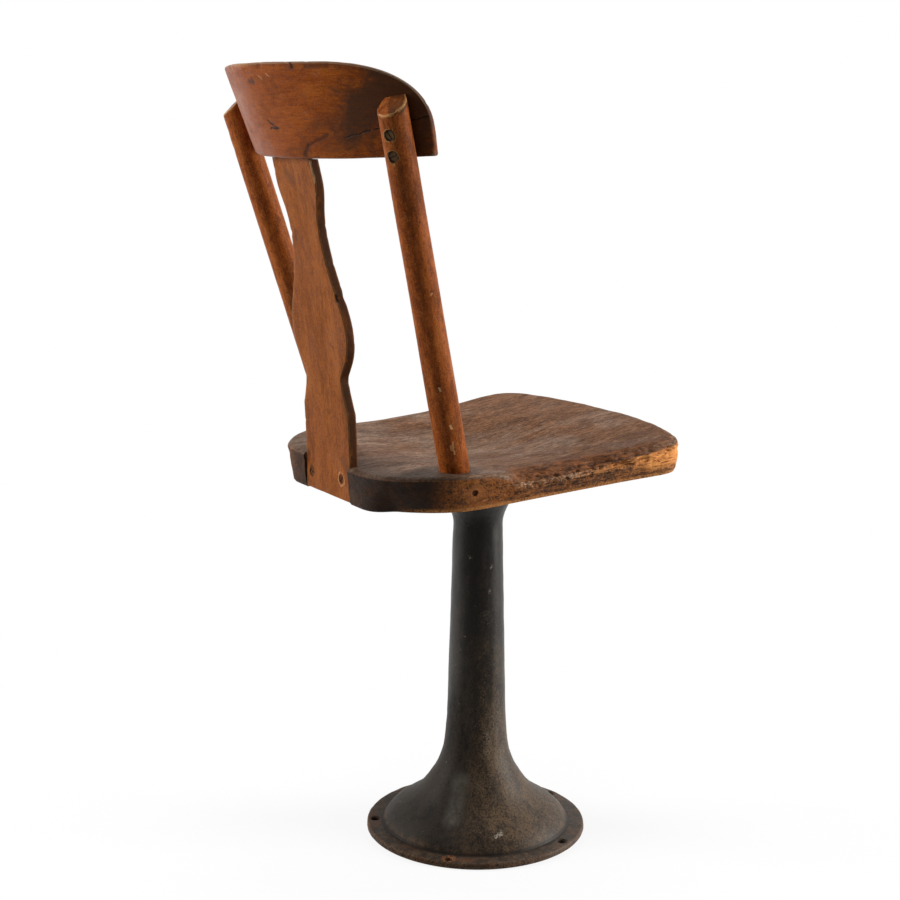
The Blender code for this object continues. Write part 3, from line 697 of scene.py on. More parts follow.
def make_crest(look):
    tip = CREST_TIP_EASE / CREST_R
    ends = [(-CREST_END + tip - tip * sin(a), CREST_TIP_EASE * (1 - cos(a)))
            for a in (radians(80), radians(60), radians(35), radians(12))]
    inside = [t for t in crest_turns(44, 60) if abs(t) < CREST_END - 1.3 * tip]
    rows = ends + [(t, 0) for t in [-CREST_END + tip] + inside + [CREST_END - tip]]
    rows += [(-t, less) for t, less in reversed(ends)]
    ob = skin("bent_crest_rail", [crest_section(t, less) for t, less in rows])
    shift(ob, crest_wear)
    mortise = skin("mortise", [splat_ring(z, TENON_HALF + FIT, TENON_T + 2 * FIT, FIT, 1)
                               for z in (SPLAT_TOP - 0.01, SPLAT_TOP + TENON_LONG + FIT)])
    cut(ob, mortise, *crest_screw_cutters(1.0, "rail"), *crest_screw_cutters(-1.0, "rail"))

    def rub(p):
        return -0.7 * smoothstep(-0.0020, -0.0050, crest_grain(p).z)

    return dress(ob, "seat", "crest_rail", look, crest_grain, crest_stain_and_shade, rub)


# Posts
def post_r(s, long):
    return POST_FOOT_R + (POST_TOP_R - POST_FOOT_R) * s / long


def post_ring(place, long, s, grow, slant=0.0, low=0.0, steps=72):
    r = post_r(s, long) + grow
    return [place @ Vector((r * cos(a), r * sin(a), s - slant * r * cos(a - low))) for a in circle(steps)]


def post_place(side):
    """Lower end, axis, length and frame of a post. The frame's X points away from the crest rail."""
    foot_z = (SEAT @ Vector((POST_X, POST_V, seat_top(POST_X, POST_V)))).z
    top_z = CHAIR_H - POST_DROP
    top_r = crest_r(top_z) + POST_TOP_R - POST_HOUSING
    out = Vector((side * sin(POST_ANGLE), cos(POST_ANGLE), 0))
    top = Vector((0, CREST_CENTRE, top_z)) + out * top_r
    foot = Vector((side * POST_X, POST_FOOT_Y, foot_z))
    axis = (top - foot).normalized()
    end = foot - axis * SOCKET_DEPTH
    away = (out - axis * out.dot(axis)).normalized()
    turn = Matrix((away, axis.cross(away), axis)).transposed().to_4x4()
    return end, axis, (top - end).length, Matrix.Translation(end) @ turn


def crest_screws(side):
    """Reach along the post of each crest screw, and the way they point out of it."""
    end, axis, _, _ = post_place(side)
    aim = Vector((side * sin(CREST_SCREW_TURN), cos(CREST_SCREW_TURN), 0))
    aim = (aim - axis * aim.dot(axis)).normalized()
    return [(CREST_BOTTOM + up - end.z) / axis.z for up in CREST_SCREW_UP], aim


def crest_screw_cutters(side, name):
    end, axis, _, _ = post_place(side)
    reaches, aim = crest_screws(side)
    places = [frame_on(end + axis * s + aim * (POST_TOP_R - 0.0013), -aim) for s in reaches]
    return [screw_cutter(f"{name}_{side}_{i}", at, HEAD_MOUTH, 0.0324) for i, at in enumerate(places)]


def screw_rings():
    """Rings round the crest screws, in the grain places of a post."""
    reaches, aim = crest_screws(1.0)
    aim = post_place(1.0)[3].to_3x3().inverted() @ aim
    ends = [[(s + p.z, p.x, p.y) for p in (aim * 0.009, aim * 0.03)] for s in reaches]
    return [(start, stop, 0.0058, tone(172, 126, 70), 0.85) for start, stop in ends]


def on_post(z, turn_deg):
    """Place on a post's surface, in grain places, at a turn from the side away from the crest rail."""
    end, axis, long, _ = post_place(-1.0)
    s = (z - end.z) / axis.z
    r = post_r(s, long)
    return (s, r * cos(radians(turn_deg)), -r * sin(radians(turn_deg)))


def post_rows(place, long, lean, low):
    """Rings from the socket to the slanted top."""
    ease = POST_EASE
    rows = [post_ring(place, long, 0, -0.0012), post_ring(place, long, ease, 0)]
    for k in range(1, 121):
        s = ease + (long - ease - ease) * k / 120
        rows.append(post_ring(place, long, s, 0, lean * smoothstep(0.45, 1, s / long), low))
    for a in (radians(20), radians(45), radians(70), radians(90)):
        rows.append(post_ring(place, long, long - ease + ease * sin(a), -ease * (1 - cos(a)), lean, low))
    return rows + [post_ring(place, long, long + 0.0002 * k, -ease - (POST_TOP_R - ease) * k / 5, lean, low)
                   for k in range(1, 5)]


def post_housing():
    """The crest rail grown by the fit, to cut from a post."""
    past, deep = CHAIR_H + CREST_H, CREST_T + POST_TOP_R
    rows = []
    for t in crest_turns(30, 40):
        low = crest_low(t) - FIT
        corners = ((low, -FIT), (past, -FIT), (past, deep), (low, deep))
        rows.append([crest_point(t, z, depth) for z, depth in corners])
    return skin("housing", rows)


def make_post(side, hand, look):
    _, _, long, place = post_place(side)
    lean = tan(POST_SLANT)
    inverse = place.inverted()
    reaches = crest_screws(side)[0]
    ob = skin(f"round_{hand}_post", post_rows(place, long, lean, side * POST_SLANT_TURN))

    def wear(p, n):
        top = smoothstep(long - 0.020, long, (inverse @ p).z)
        nick = max(0, noise.noise(p * 120) - 0.2) * 0.0016
        return (0.00025 * noise.noise((p.x * 40, p.y * 40, p.z * 9))
                + 0.00008 * noise.noise(p * 150) - top * nick)

    def grain(p):
        q = inverse @ p
        return Vector((q.z, q.x, side * q.y))

    def aside(q):
        return q.x * cos(POST_STAIN_TURN) + q.y * sin(POST_STAIN_TURN)

    def under(q):
        """Depth below the slant that the stain follows."""
        return long - lean * aside(q) - q.z

    def stain(p):
        q = inverse @ p
        foot = smoothstep(0.060, 0.026, q.z)
        screw = max(exp(-((q.z - s) / 0.010) ** 2) for s in reaches) * smoothstep(0.002, 0.010, q.x)
        return 0.45 * foot + 0.30 * screw + 0.80 * smoothstep(0.0016, 0.0006, under(q))

    def rub(p):
        q = inverse @ p
        return -0.8 * smoothstep(0.003, -0.004, aside(q)) * smoothstep(0.020, 0.008, under(q))

    shift(ob, wear)
    cut(ob, post_housing(), *crest_screw_cutters(side, hand))
    return dress(ob, "seat", f"{hand}_post", look, grain, stain, rub)


# Splat
SPLAT_FOOT = BACK_EDGE.z + SPLAT_LIFT
SPLAT_TOP = CREST_BOTTOM - FIT
SPLAT_LONG = SPLAT_TOP - SPLAT_FOOT
SPLAT_TOP_Y = CREST_CENTRE + crest_r(SPLAT_TOP) - SPLAT_SET

# Outline as (share of the height, share of the foot's half width)
OUTLINE = ((0.000, 1.000), (0.263, 1.000), (0.275, 0.960), (0.300, 0.895), (0.330, 0.825), (0.358, 0.795),
           (0.372, 0.815), (0.391, 0.915), (0.423, 1.080), (0.454, 1.180), (0.485, 1.221), (0.515, 1.210),
           (0.548, 1.155), (0.600, 1.005), (0.629, 0.920), (0.657, 0.835), (0.687, 0.760), (0.716, 0.705),
           (0.743, 0.668), (0.772, 0.645), (0.800, 0.645), (0.826, 0.665), (0.856, 0.720), (0.884, 0.795),
           (0.912, 0.860), (0.938, 0.880), (1.000, 0.862))
STRAIGHT = (0, 1, 4, len(OUTLINE) - 2)


def splat_share(z):
    return (z - SPLAT_FOOT) / SPLAT_LONG


def splat_back(z):
    return SPLAT_FOOT_Y + (SPLAT_TOP_Y - SPLAT_FOOT_Y) * splat_share(z) ** 2


def splat_half(s):
    i = max(k for k in range(len(OUTLINE) - 1) if OUTLINE[k][0] <= s)
    (a, wa), (b, wb) = OUTLINE[i], OUTLINE[i + 1]
    t = (s - a) / (b - a)
    if i in STRAIGHT:
        return SPLAT_HALF * (wa + (wb - wa) * t)
    (before, w0), (after, w1) = OUTLINE[i - 1], OUTLINE[i + 2]
    ma, mb = (wb - w0) / (b - before) * (b - a), (w1 - wa) / (after - a) * (b - a)
    return SPLAT_HALF * ((2 * t ** 3 - 3 * t * t + 1) * wa + (t ** 3 - 2 * t * t + t) * ma
                         + (3 * t * t - 2 * t ** 3) * wb + (t ** 3 - t * t) * mb)


def splat_ring(z, half, thick, ease, across=24):
    y1 = splat_back(z) - (SPLAT_T - thick) / 2
    y0 = y1 - thick
    arc = quarter(3)
    right = [(half - ease + ease * sin(a), y1 - ease + ease * cos(a)) for a in arc]
    right += [(half, y1 - ease - (thick - 2 * ease) * k / 4) for k in (1, 2, 3)]
    right += [(half - ease + ease * cos(a), y0 + ease - ease * sin(a)) for a in arc]
    left = [(-x, y) for x, y in reversed(right)]
    low = [(half - ease - 2 * (half - ease) * k / across, y0) for k in range(1, across)]
    high = [(-x, y1) for x, y in low]
    return [Vector((x, y, z)) for x, y in right + low + left + high]


def from_splat_edge(p):
    return splat_half(min(0.999, max(0, splat_share(p.z)))) - abs(p.x)


def on_splat(z, share):
    """Place on the back face, in grain places, at a share of the half width."""
    return (z, share * splat_half(splat_share(z)), splat_back(z))


def splat_rings():
    """Dark and pale rings round the filled screws in the foot of the splat."""
    rings = []
    for (x, up), *look in zip(SPLAT_SCREWS, (0.0056, 0.0066), (SMOKE, tone(190, 138, 92)), (0.35, 0)):
        z = BACK_EDGE.z + up
        rings.append(((z, x, splat_back(z) - 0.004), (z, x, splat_back(z) + 0.004), *look))
    return rings


def splat_wear(p, n):
    rim = smoothstep(0.004, 0, from_splat_edge(p)) if splat_share(p.z) < 1 else 0
    nick = max(0, noise.noise((p.x * 90, p.y * 90, p.z * 110)) - 0.28) * 0.0018
    dent = exp(-((p.z - DENT_Z) / DENT_LONG) ** 2) * DENT_DEEP if p.x < 0 else 0
    return 0.00022 * noise.noise((p.x * 60, p.y * 60, p.z * 14)) - rim * (nick + dent)


def splat_darkening(p):
    # Darker just under the crest rail, towards the foot and on one spot; the dark band along the edges is
    # partly grime, partly painted shade on the sides
    top = 0.4 * smoothstep(CREST_BOTTOM - 0.014, CREST_BOTTOM, p.z)
    spot = exp(-((p.x + SPLAT_HALF * 1.10) / 0.006) ** 2 - ((p.z - 0.594) / 0.008) ** 2)
    low = 0.28 * smoothstep(SPLAT_FOOT + 0.034, SPLAT_FOOT + 0.004, p.z)
    return low + top + spot + smoothstep(0.0016, 0.0004, from_splat_edge(p))


def make_splat(look):
    shares = [k / 249 * 0.9999 for k in range(250)]
    rows = [splat_ring(SPLAT_FOOT + SPLAT_LONG * s, splat_half(s), SPLAT_T, SPLAT_EASE) for s in shares]
    rows += [splat_ring(SPLAT_TOP + up, TENON_HALF, TENON_T, 0.0004) for up in (0, TENON_LONG)]
    ob = skin("shaped_splat", rows)
    shift(ob, splat_wear)
    cutters = []
    for i, (x, up) in enumerate(SPLAT_SCREWS):
        z = BACK_EDGE.z + up
        at = frame_on((x, splat_back(z) - 0.0006, z), (0, -1, 0))
        cutters.append(screw_cutter(f"splat_hole_{i}", at, SCREW_HEAD_R + SCREW_FIT + 0.0003, 0.0305))
    cut(ob, *cutters)
    return dress(ob, "seat", "splat", look, lambda p: Vector((p.z, p.x, p.y)), splat_darkening)


# Finishes
def wood_fields(g):
    """Patterns in the grain places, which run along and across the grain in metres."""
    grain = g.attribute("grain", "Vector")
    return SimpleNamespace(
        grain=grain,
        bands=g.noise(grain, (9, 50, 50), 4, 0.55, 1),
        streaks=g.noise(grain, (45, 520, 520), 5, 0.62),
        pores=g.span(g.noise(grain, (95, 2100, 2100), 2, 0.5), 0.56, 0.70),
        cloud=g.noise(grain, (17, 30, 30), 6, 0.66, 0.6),
        mottle=g.noise(grain, (95, 160, 160), 6, 0.74, 0.6),
        speck=g.noise(grain, (300, 420, 420), 4, 0.68),
        grit=g.noise(grain, (620, 900, 900), 3, 0.62))


def wood(name, dark, middle, light, worn, stain, marks=(), rings=(),
         patch=0.5, gloss=0.40, rubbing=0.6, blotch=0.55, shine=0.055):
    """Old varnished wood with stains, rubbed edges and darkening in hollows that is partly grime and partly
    painted shade, then single marks and rings.
    """
    g = Graph(bpy.data.materials.new(name))
    f = wood_fields(g)
    ragged = (f.cloud - 0.5) * 1.5 + (f.mottle - 0.5) * 0.9
    painted = g.span(g.attribute("stain") + ragged, 0.22, 0.95)
    stained = g.most(g.span(f.cloud, 0.48, 0.68) * patch, painted)
    fleck = g.span(f.speck, 0.62, 0.76) * g.span(f.cloud, 0.40, 0.60)
    edge = g.attribute("edge") + (f.speck - 0.5) * 1.1
    # Darker in hollows: partly grime, partly painted shade
    hollow_dirt_and_shade = g.attribute("hollow_dirt_and_shade") + (f.speck - 0.5) * 0.5
    colour = g.ramp(f.bands * 0.55 + f.streaks * 0.45, (0.34, dark), (0.50, middle), (0.66, light))
    colour = g.layered(
        colour,
        (g.span(f.mottle, 0.50, 0.66, 0, blotch), dark),
        (g.span(f.mottle, 0.48, 0.32, 0, blotch), light))
    colour = g.layered(
        g.mix(f.pores * 0.40, colour, dark, "MULTIPLY"),
        (g.span(f.grit, 0.50, 0.64, 0, 0.60), dark),
        (g.span(f.grit, 0.48, 0.34, 0, 0.55), light),
        (stained * 0.85, stain),
        (fleck * 0.55, tone(34, 20, 12)),
        (g.span(edge, 0.50, 0.95) * rubbing, worn),
        # Darker in hollows: partly grime, partly painted shade
        (g.span(hollow_dirt_and_shade, 0.3, 0.9, 0, 0.8), tone(24, 15, 9)))
    height = f.streaks * 0.5 - f.pores * 0.5 - fleck * 0.6 + f.grit * 0.35
    wander = g.add("TexNoise", {"Vector": f.grain, "Scale": 170, "Detail": 3}, "Color")
    wander = g.scaled(g.vector("SUBTRACT", wander, (0.5, 0.5, 0.5)), 0.004)
    place = g.vector("ADD", f.grain, wander)
    for start, end, core, reach, depth, paint in marks:
        line = g.near_line(place, start, end, core, reach)
        colour = g.mix(line * depth, colour, paint)
        height = height - line * (1.5 * depth)
    for start, end, radius, paint, soot in rings:
        away = g.from_line(place, start, end)
        off = g.math("ABSOLUTE", away - radius)
        ring = g.span(off, 0.0002, 0.0010, 1, 0) * g.span(f.speck, 0.40, 0.52)
        inside = g.span(away, radius - 0.0008, radius + 0.0006, soot, 0)
        colour = g.layered(colour, (ring * 0.9, paint), (inside, tone(22, 14, 9)))
    rough = g.span(f.cloud + f.streaks * 0.4, 0.45, 0.95, gloss - 0.08, gloss + 0.16)
    sheen = g.span(g.facing(), 0.58, 0.92, shine, 3.5 * shine)
    return g.finish(colour, rough, g.bump(height, 0.00035, 0.7), sheen)


def seat_fields(g):
    """Patterns of the seat, whose grain runs from front to back, and the zones of its edge."""
    grain = g.attribute("grain", "Vector")
    f = SimpleNamespace(
        grain=grain,
        bands=g.noise(grain, (70, 14, 70), 4, 0.55, 0.8),
        streaks=g.noise(grain, (520, 82, 520), 5, 0.68, 0.5),
        fine=g.noise(grain, (950, 230, 950), 4, 0.70),
        cloud=g.noise(grain, (28, 20, 28), 6, 0.66, 0.6),
        mottle=g.noise(grain, (150, 90, 150), 6, 0.74, 0.5),
        layers=g.noise(grain, (190, 62, 400), 6, 0.74, 0.7),
        crumbs=g.noise(grain, (560, 470, 560), 4, 0.72),
        chunks=g.noise(grain, (330, 330, 120), 5, 0.70, 0.6),
        patches=g.noise(grain, (17, 13, 17), 5, 0.62, 0.8))
    f.across, f.back, _ = g.parts(grain)
    f.side, f.use, f.up = g.parts(g.attribute("zone", "Vector"))
    f.share = f.bands * 0.20 + f.streaks * 0.42 + f.fine * 0.38
    uneven = f.across + (f.layers - 0.5) * 0.10
    far = g.span(f.back, -0.065, -0.115) * g.span(f.up, 0.10, 0.40) * g.span(f.layers, 0.64, 0.54, 0.60, 1)
    f.far = far * g.span(uneven, -0.090, -0.135)
    f.ends = g.span(f.back, -0.120, -0.150) * g.span(uneven, -0.138, -0.090, 0, 0.8)
    f.plain = g.span(f.ends, 0, 0.8, 1, 0.12)
    f.reach = g.most(f.side, g.attribute("rim") * f.use * 0.75)
    f.pale = g.ramp(f.layers, (0.38, tone(246, 172, 98)), (0.50, tone(230, 150, 80)),
                    (0.62, tone(178, 106, 54)))
    return f


def seat_board(g, f):
    """Grey and brown top."""
    warm = g.span(f.back, 0.10, -0.12, 0.25, 1) + (f.patches - 0.5) * 4.5
    grey = g.ramp(f.share, (0.42, tone(80, 59, 46)), (0.50, tone(126, 99, 80)), (0.58, tone(170, 142, 120)))
    brown = g.ramp(f.share, (0.42, tone(58, 35, 20)), (0.50, tone(110, 71, 43)), (0.58, tone(158, 109, 70)))
    return g.layered(
        g.mix(g.math("MULTIPLY", warm, 0.9, True), grey, brown),
        (g.span(f.fine, 0.56, 0.68, 0, 0.60), tone(46, 30, 21)),
        (g.span(f.crumbs, 0.55, 0.68, 0, 0.55), tone(52, 35, 24)),
        (g.span(f.mottle, 0.54, 0.72, 0, 0.5), tone(60, 39, 26)),
        (g.span(f.mottle, 0.46, 0.30, 0, 0.5), tone(160, 130, 106)))


def seat_edge(g, f):
    """Torn layers of the side, rusty behind, pale in front and dark on the front's end grain."""
    torn = g.ramp(f.layers, (0.36, tone(182, 118, 64)), (0.46, tone(134, 83, 46)), (0.54, tone(92, 58, 35)),
                  (0.64, tone(40, 27, 19)))
    rolled = g.ramp(f.layers, (0.38, tone(150, 94, 58)), (0.50, tone(104, 64, 40)), (0.62, tone(50, 33, 23)))
    rust = g.span(f.back, 0.02, 0.07) * g.span(f.mottle, 0.60, 0.44, 0.1, 0.8)
    return g.layered(
        torn,
        (g.span(f.crumbs, 0.51, 0.62, 0, 0.45), tone(34, 22, 15)),
        (g.span(f.chunks, 0.51, 0.60, 0, 0.75), tone(54, 40, 32)),
        (g.span(f.crumbs, 0.45, 0.34, 0, 0.40), tone(196, 140, 90)),
        (g.span(f.chunks, 0.46, 0.37, 0, 0.55), tone(178, 106, 56)),
        (g.span(f.side, 0.35, 0.75, 0.75, 0), rolled),
        (rust * g.span(f.crumbs, 0.58, 0.48), tone(154, 90, 38)),
        (f.ends, g.mix(g.span(f.layers, 0.42, 0.60), tone(104, 66, 40), tone(48, 31, 21))),
        (f.far * g.span(f.side, 0.55, 0.85), f.pale))


def seat_chips(g, f):
    """Coats of pale line, chips of raw wood that also stand for painted glints, and dark crust on the edge.
    """
    line = g.span(f.side, 0.55, 0.80) * g.span(f.up, 0.42, 0.56) * g.span(f.back, 0.01, -0.05)
    line = line * g.span(f.use, 0.1, 0.4) * g.span(f.ends, 0, 0.8, 1, 0.1)
    arris = g.span(f.side, 0.35, 0.75) * g.span(f.up, 0.30, 0.60)
    chips = arris * f.use + (f.mottle - 0.5) * 1.2 + (f.crumbs - 0.5) * 2.6
    # Chips of raw wood, also painted glints along the arris
    bare_and_glints = g.mix(g.span(f.back, -0.01, -0.06), tone(188, 152, 122), tone(214, 142, 80))
    crust = g.span(f.side, 0.15, 0.55) * g.span(f.use, 0.2, 0.6)
    crust = crust * (g.span(f.layers, 0.52, 0.62) * g.span(f.cloud, 0.38, 0.52))
    return ((line * g.span(f.crumbs, 0.54, 0.42, 0, 0.6), f.pale),
            (g.span(chips, 0.85, 1.10, 0, 0.85) * f.plain, bare_and_glints),
            (crust * g.span(f.far, 0, 1, 0.85, 0.30), tone(26, 17, 12)))


def seat_stain_and_painted_shade(g, f):
    """Share of the dark stain behind and at the near back corner, and of painted shade round the near post's
    foot, all held back on the far side.
    """
    wall = g.span(f.side, 0.3, 0.9)
    behind = g.span(f.back, 0.108, 0.142) * wall
    rim = g.span(f.back, 0.122, 0.165) * 0.68
    corner = g.span(f.back, 0.080, 0.135) * g.span(f.across, -0.080, -0.115, 0, 0.85)
    corner = corner * g.span(wall, 0, 1, 1, 0.2)
    # Painted shade round the foot of the near post, where it meets the seat
    post = g.near_line(f.grain, (-POST_X, POST_V, 0), (-POST_X, POST_V, 0.05), 0.016, 0.036)
    post = post * g.span(wall, 0, 1, 0.6, 0.1)
    shade = g.most(g.most(behind, rim), g.most(corner, post))
    shade = shade * g.span(f.cloud * 0.7 + f.mottle * 0.3, 0.42, 0.62, 1, 0.86)
    return shade * g.span(f.across, 0.05, 0.10, 1, 0.60)


def seat_look():
    """Worn top, pale and chipped side edges, dark back edge."""
    g = Graph(bpy.data.materials.new("seat_wood"))
    f = seat_fields(g)
    ragged = ((f.mottle - 0.5) * 1.3 + (f.crumbs - 0.5) * 1.1) * g.span(f.reach, 0, 0.2)
    spot = SEAT_IN @ nail_spot(-1.0)
    nail = g.near_line(f.grain, spot, spot + Vector((0.004, 0, 0)), 0.0036, 0.0105)
    foot = g.span(f.up, 0.16, 0.05) * g.span(f.crumbs, 0.40, 0.54) * f.plain
    colour = g.layered(
        g.mix(g.span(f.reach + ragged, 0.24, 0.78), seat_board(g, f), seat_edge(g, f)),
        *seat_chips(g, f),
        # Dark stain behind and painted shade round the near post
        (seat_stain_and_painted_shade(g, f), tone(34, 23, 16)),
        (nail * g.span(f.crumbs, 0.42, 0.54, 0, 0.9), tone(170, 108, 60)),
        (foot * g.span(f.back, 0.160, 0.130, 0, 0.8), tone(204, 138, 78)),
        # Darker in hollows: partly grime, partly painted shade
        (g.span(g.attribute("hollow_dirt_and_shade"), 0.2, 0.9, 0, 0.8), tone(22, 15, 10)))
    height = f.streaks * 0.7 - g.span(f.fine, 0.55, 0.7) * 0.5
    height = height + f.crumbs * g.span(f.reach, 0, 0.8, 0.5, -1.6)
    rough = g.span(f.share, 0.40, 0.60, 0.66, 0.50)
    return g.finish(colour, rough, g.bump(height, 0.0006, 0.8), 0.08)


def on_iron(turn_deg, z, r):
    return (r * cos(radians(turn_deg)), r * sin(radians(turn_deg)), z)


def iron_fields(g):
    """Patterns of the casting, its height, its radius and how far it is turned to the near side."""
    place = g.attribute("grain", "Vector")
    f = SimpleNamespace(
        place=place,
        up=g.parts(place)[2],
        radius=g.vector("LENGTH", g.vector("MULTIPLY", place, (1, 1, 0)), out=1),
        cloud=g.noise(place, (30, 30, 16), 6, 0.62, 0.5),
        mottle=g.noise(place, (130, 130, 90), 6, 0.70, 0.4),
        grit=g.noise(place, (520, 520, 460), 4, 0.7),
        runs=g.noise(place, (70, 70, 6), 4, 0.6),
        dust=g.noise(place, (210, 210, 210), 2, 0.5))
    f.near = g.math("DIVIDE", g.vector("DOT_PRODUCT", place, (-0.53, -0.85, 0), 1), f.radius)
    f.rust = f.cloud * 0.5 + f.mottle * 0.5 + (f.runs - 0.5) * 0.3 + g.span(f.up, 0.30, 0.05) * 0.14
    cells = g.add("Mapping", {"Vector": place, "Scale": (300, 300, 300)})
    pits = g.span(g.add("TexVoronoi", {"Vector": cells, "Scale": 1}, "Distance"), 0.12, 0.34, 1, 0)
    f.spots = pits * g.span(f.mottle, 0.45, 0.60)
    return f


def iron_colour(g, f, marks):
    """Black above, brown and rusty towards the foot, with a stained ring and marks on it. Low down the brown
    is held back on the side turned to the left lamp, as painted shade; the groove at the bell's foot and two
    flange holes are darkened partly as painted shade; a pale streak on the bell is a painted highlight.
    """
    patina = f.rust * 0.60 + f.grit * 0.40
    black = g.ramp(f.rust, (0.40, tone(12, 12, 11)), (0.52, tone(22, 20, 18)), (0.66, tone(40, 35, 30)))
    brown = g.ramp(patina, (0.42, tone(20, 16, 13)), (0.53, tone(46, 37, 29)), (0.66, tone(98, 79, 60)))
    # Painted shade: low down, the brown falls almost to black on the side turned to the left lamp
    share = g.span(f.up, 0.32, 0.06) * g.span(f.near, -0.5, 0.4, 0.06, 1)
    share = g.most(share, g.span(f.up, 0.018, 0.008, 0, 0.6))
    # Dark line in the groove at the bell's foot: partly grime, partly painted shade
    off = g.math("ABSOLUTE", f.radius - (BELL_R + 0.0012))
    groove = g.span(off, 0.0006, 0.0030, 1, 0) * g.span(f.up, 0.0125, 0.0095)
    edge = g.attribute("edge") + (f.grit - 0.5) * 2
    crumbs = g.span(f.grit, 0.43, 0.57)
    spots = [(g.near_line(f.place, *line) * crumbs * depth, paint) for *line, depth, paint in marks]
    # Painted highlight: a pale streak down the bell's left, standing for a lamp's reflection
    painted_highlight = g.near_line(f.place, on_iron(127, 0.066, 0.047), on_iron(128, 0.034, 0.074), 0.001, 0.015)
    return g.layered(
        g.mix(share, black, brown),
        (g.span(f.grit, 0.57, 0.72) * g.span(share, 0, 1, 0.12, 0.65), tone(104, 82, 61)),
        (g.span(f.grit, 0.47, 0.34, 0, 0.8), tone(20, 17, 15)),
        (f.spots * 0.7, tone(22, 18, 15)),
        (g.span(f.dust, 0.725, 0.775, 0, 0.4), tone(140, 126, 110)),
        (g.span(f.up, 0.014, 0.007) * g.span(f.mottle, 0.38, 0.58, 0.75, 0.10), tone(30, 22, 17)),
        (g.span(f.up, 0.012, 0.007) * g.span(f.cloud, 0.48, 0.64, 0, 0.5), tone(72, 47, 33)),
        (groove * 0.8, tone(18, 14, 11)),
        (g.span(edge, 0.7, 1.2, 0, 0.40), tone(112, 84, 62)),
        *spots,
        # Darker in hollows: partly grime, partly painted shade
        (g.span(g.attribute("hollow_dirt_and_shade"), 0.2, 0.9, 0, 0.6), tone(32, 25, 20)),
        # Painted highlight streak on the bell
        (painted_highlight * g.span(f.mottle, 0.40, 0.60, 0.45, 0.20), tone(108, 104, 96)))


def iron_look(marks):
    """Casting that is glossier above and dull low down on the far side."""
    g = Graph(bpy.data.materials.new("cast_iron"))
    f = iron_fields(g)
    rough = g.span(f.rust, 0.42, 0.70, 0, 0.10) + g.span(f.up, 0.03, 0.16, 0.46, 0.36)
    height = f.grit * 0.6 + f.mottle * 0.9 - f.spots * 0.5
    dull = g.span(f.up, 0.20, 0.12) * g.span(f.near, -0.05, -0.6)
    gloss = g.span(g.facing(), 0.02, 0.40, 0.10, 0.30) * g.span(dull, 0, 1, 1, 0.3)
    g.put(g.shader.inputs["Specular Tint"], (1.0, 0.93, 0.85, 1.0))
    return g.finish(iron_colour(g, f, marks), rough, g.bump(height, 0.0005, 0.5), gloss)


def metal_look(name, clean, stained, metal, low, high, specular=0.4):
    g = Graph(bpy.data.materials.new(name))
    place = g.add("TexCoord", {}, "Object")
    grit = g.noise(place, (900, 900, 900), 4, 0.6)
    share = g.noise(place, (160, 160, 160), 5, 0.65) * 0.6 + grit * 0.4
    colour = g.ramp(share, (0.38, clean), (0.62, stained))
    rough = g.span(share, 0.35, 0.65, low, high)
    return g.finish(colour, rough, g.bump(grit, 0.0002, 0.6), specular, metal)


def placed(on, rows):
    """Marks whose two ends are placed on a surface: ends, core, reach, depth and paint."""
    return [(on(*start), on(*end), *rest) for start, end, *rest in rows]


IRON_MARKS = placed(on_iron, (
    ((162.3, 0.0222, 0.0889), (165.6, 0.0240, 0.0866), 0.0004, 0.0034, 0.75, CHALK),
    ((167.2, 0.0262, 0.0838), (166.6, 0.0236, 0.0872), 0.0002, 0.0024, 0.50, CHALK),
    ((130.7, 0.3084, 0.0270), (131.5, 0.3070, 0.0270), 0.0002, 0.0028, 0.35, CHALK),
    ((-178.2, 0.2981, 0.0272), (179.0, 0.2960, 0.0272), 0.0002, 0.0020, 0.30, CHALK),
    ((176.5, 0.2725, 0.0278), (175.0, 0.2690, 0.0279), 0.0002, 0.0022, 0.30, CHALK),
    ((170.0, 0.2460, 0.0285), (172.0, 0.2390, 0.0288), 0.0004, 0.0100, 0.06, CHALK),
    ((170.0, 0.1150, 0.0325), (168.0, 0.0950, 0.0365), 0.0004, 0.0080, 0.12, CHALK),
    ((133.3, 0.0068, 0.1095), (134.0, 0.0068, 0.1098), 0.0062, 0.0090, 0.85, tone(126, 80, 46)),
    ((139.0, 0.0066, 0.1105), (146.0, 0.0066, 0.1108), 0.0010, 0.0060, 0.45, tone(122, 70, 38)),
    # Dark over two flange holes: partly soot, partly painted shade inside the holes
    ((-154.7, 0.0068, 0.1095), (-154.9, 0.0068, 0.1095), 0.0056, 0.0075, 0.90, SOOT),
    ((61.3, 0.0068, 0.1095), (61.5, 0.0068, 0.1095), 0.0056, 0.0075, 0.85, SOOT),
    ((-115.6, 0.0066, 0.1100), (-118.0, 0.0066, 0.1110), 0.0008, 0.0050, 0.80, SOOT),
    ((-132.8, 0.0066, 0.1100), (-134.0, 0.0066, 0.1120), 0.0008, 0.0045, 0.80, SOOT),
))
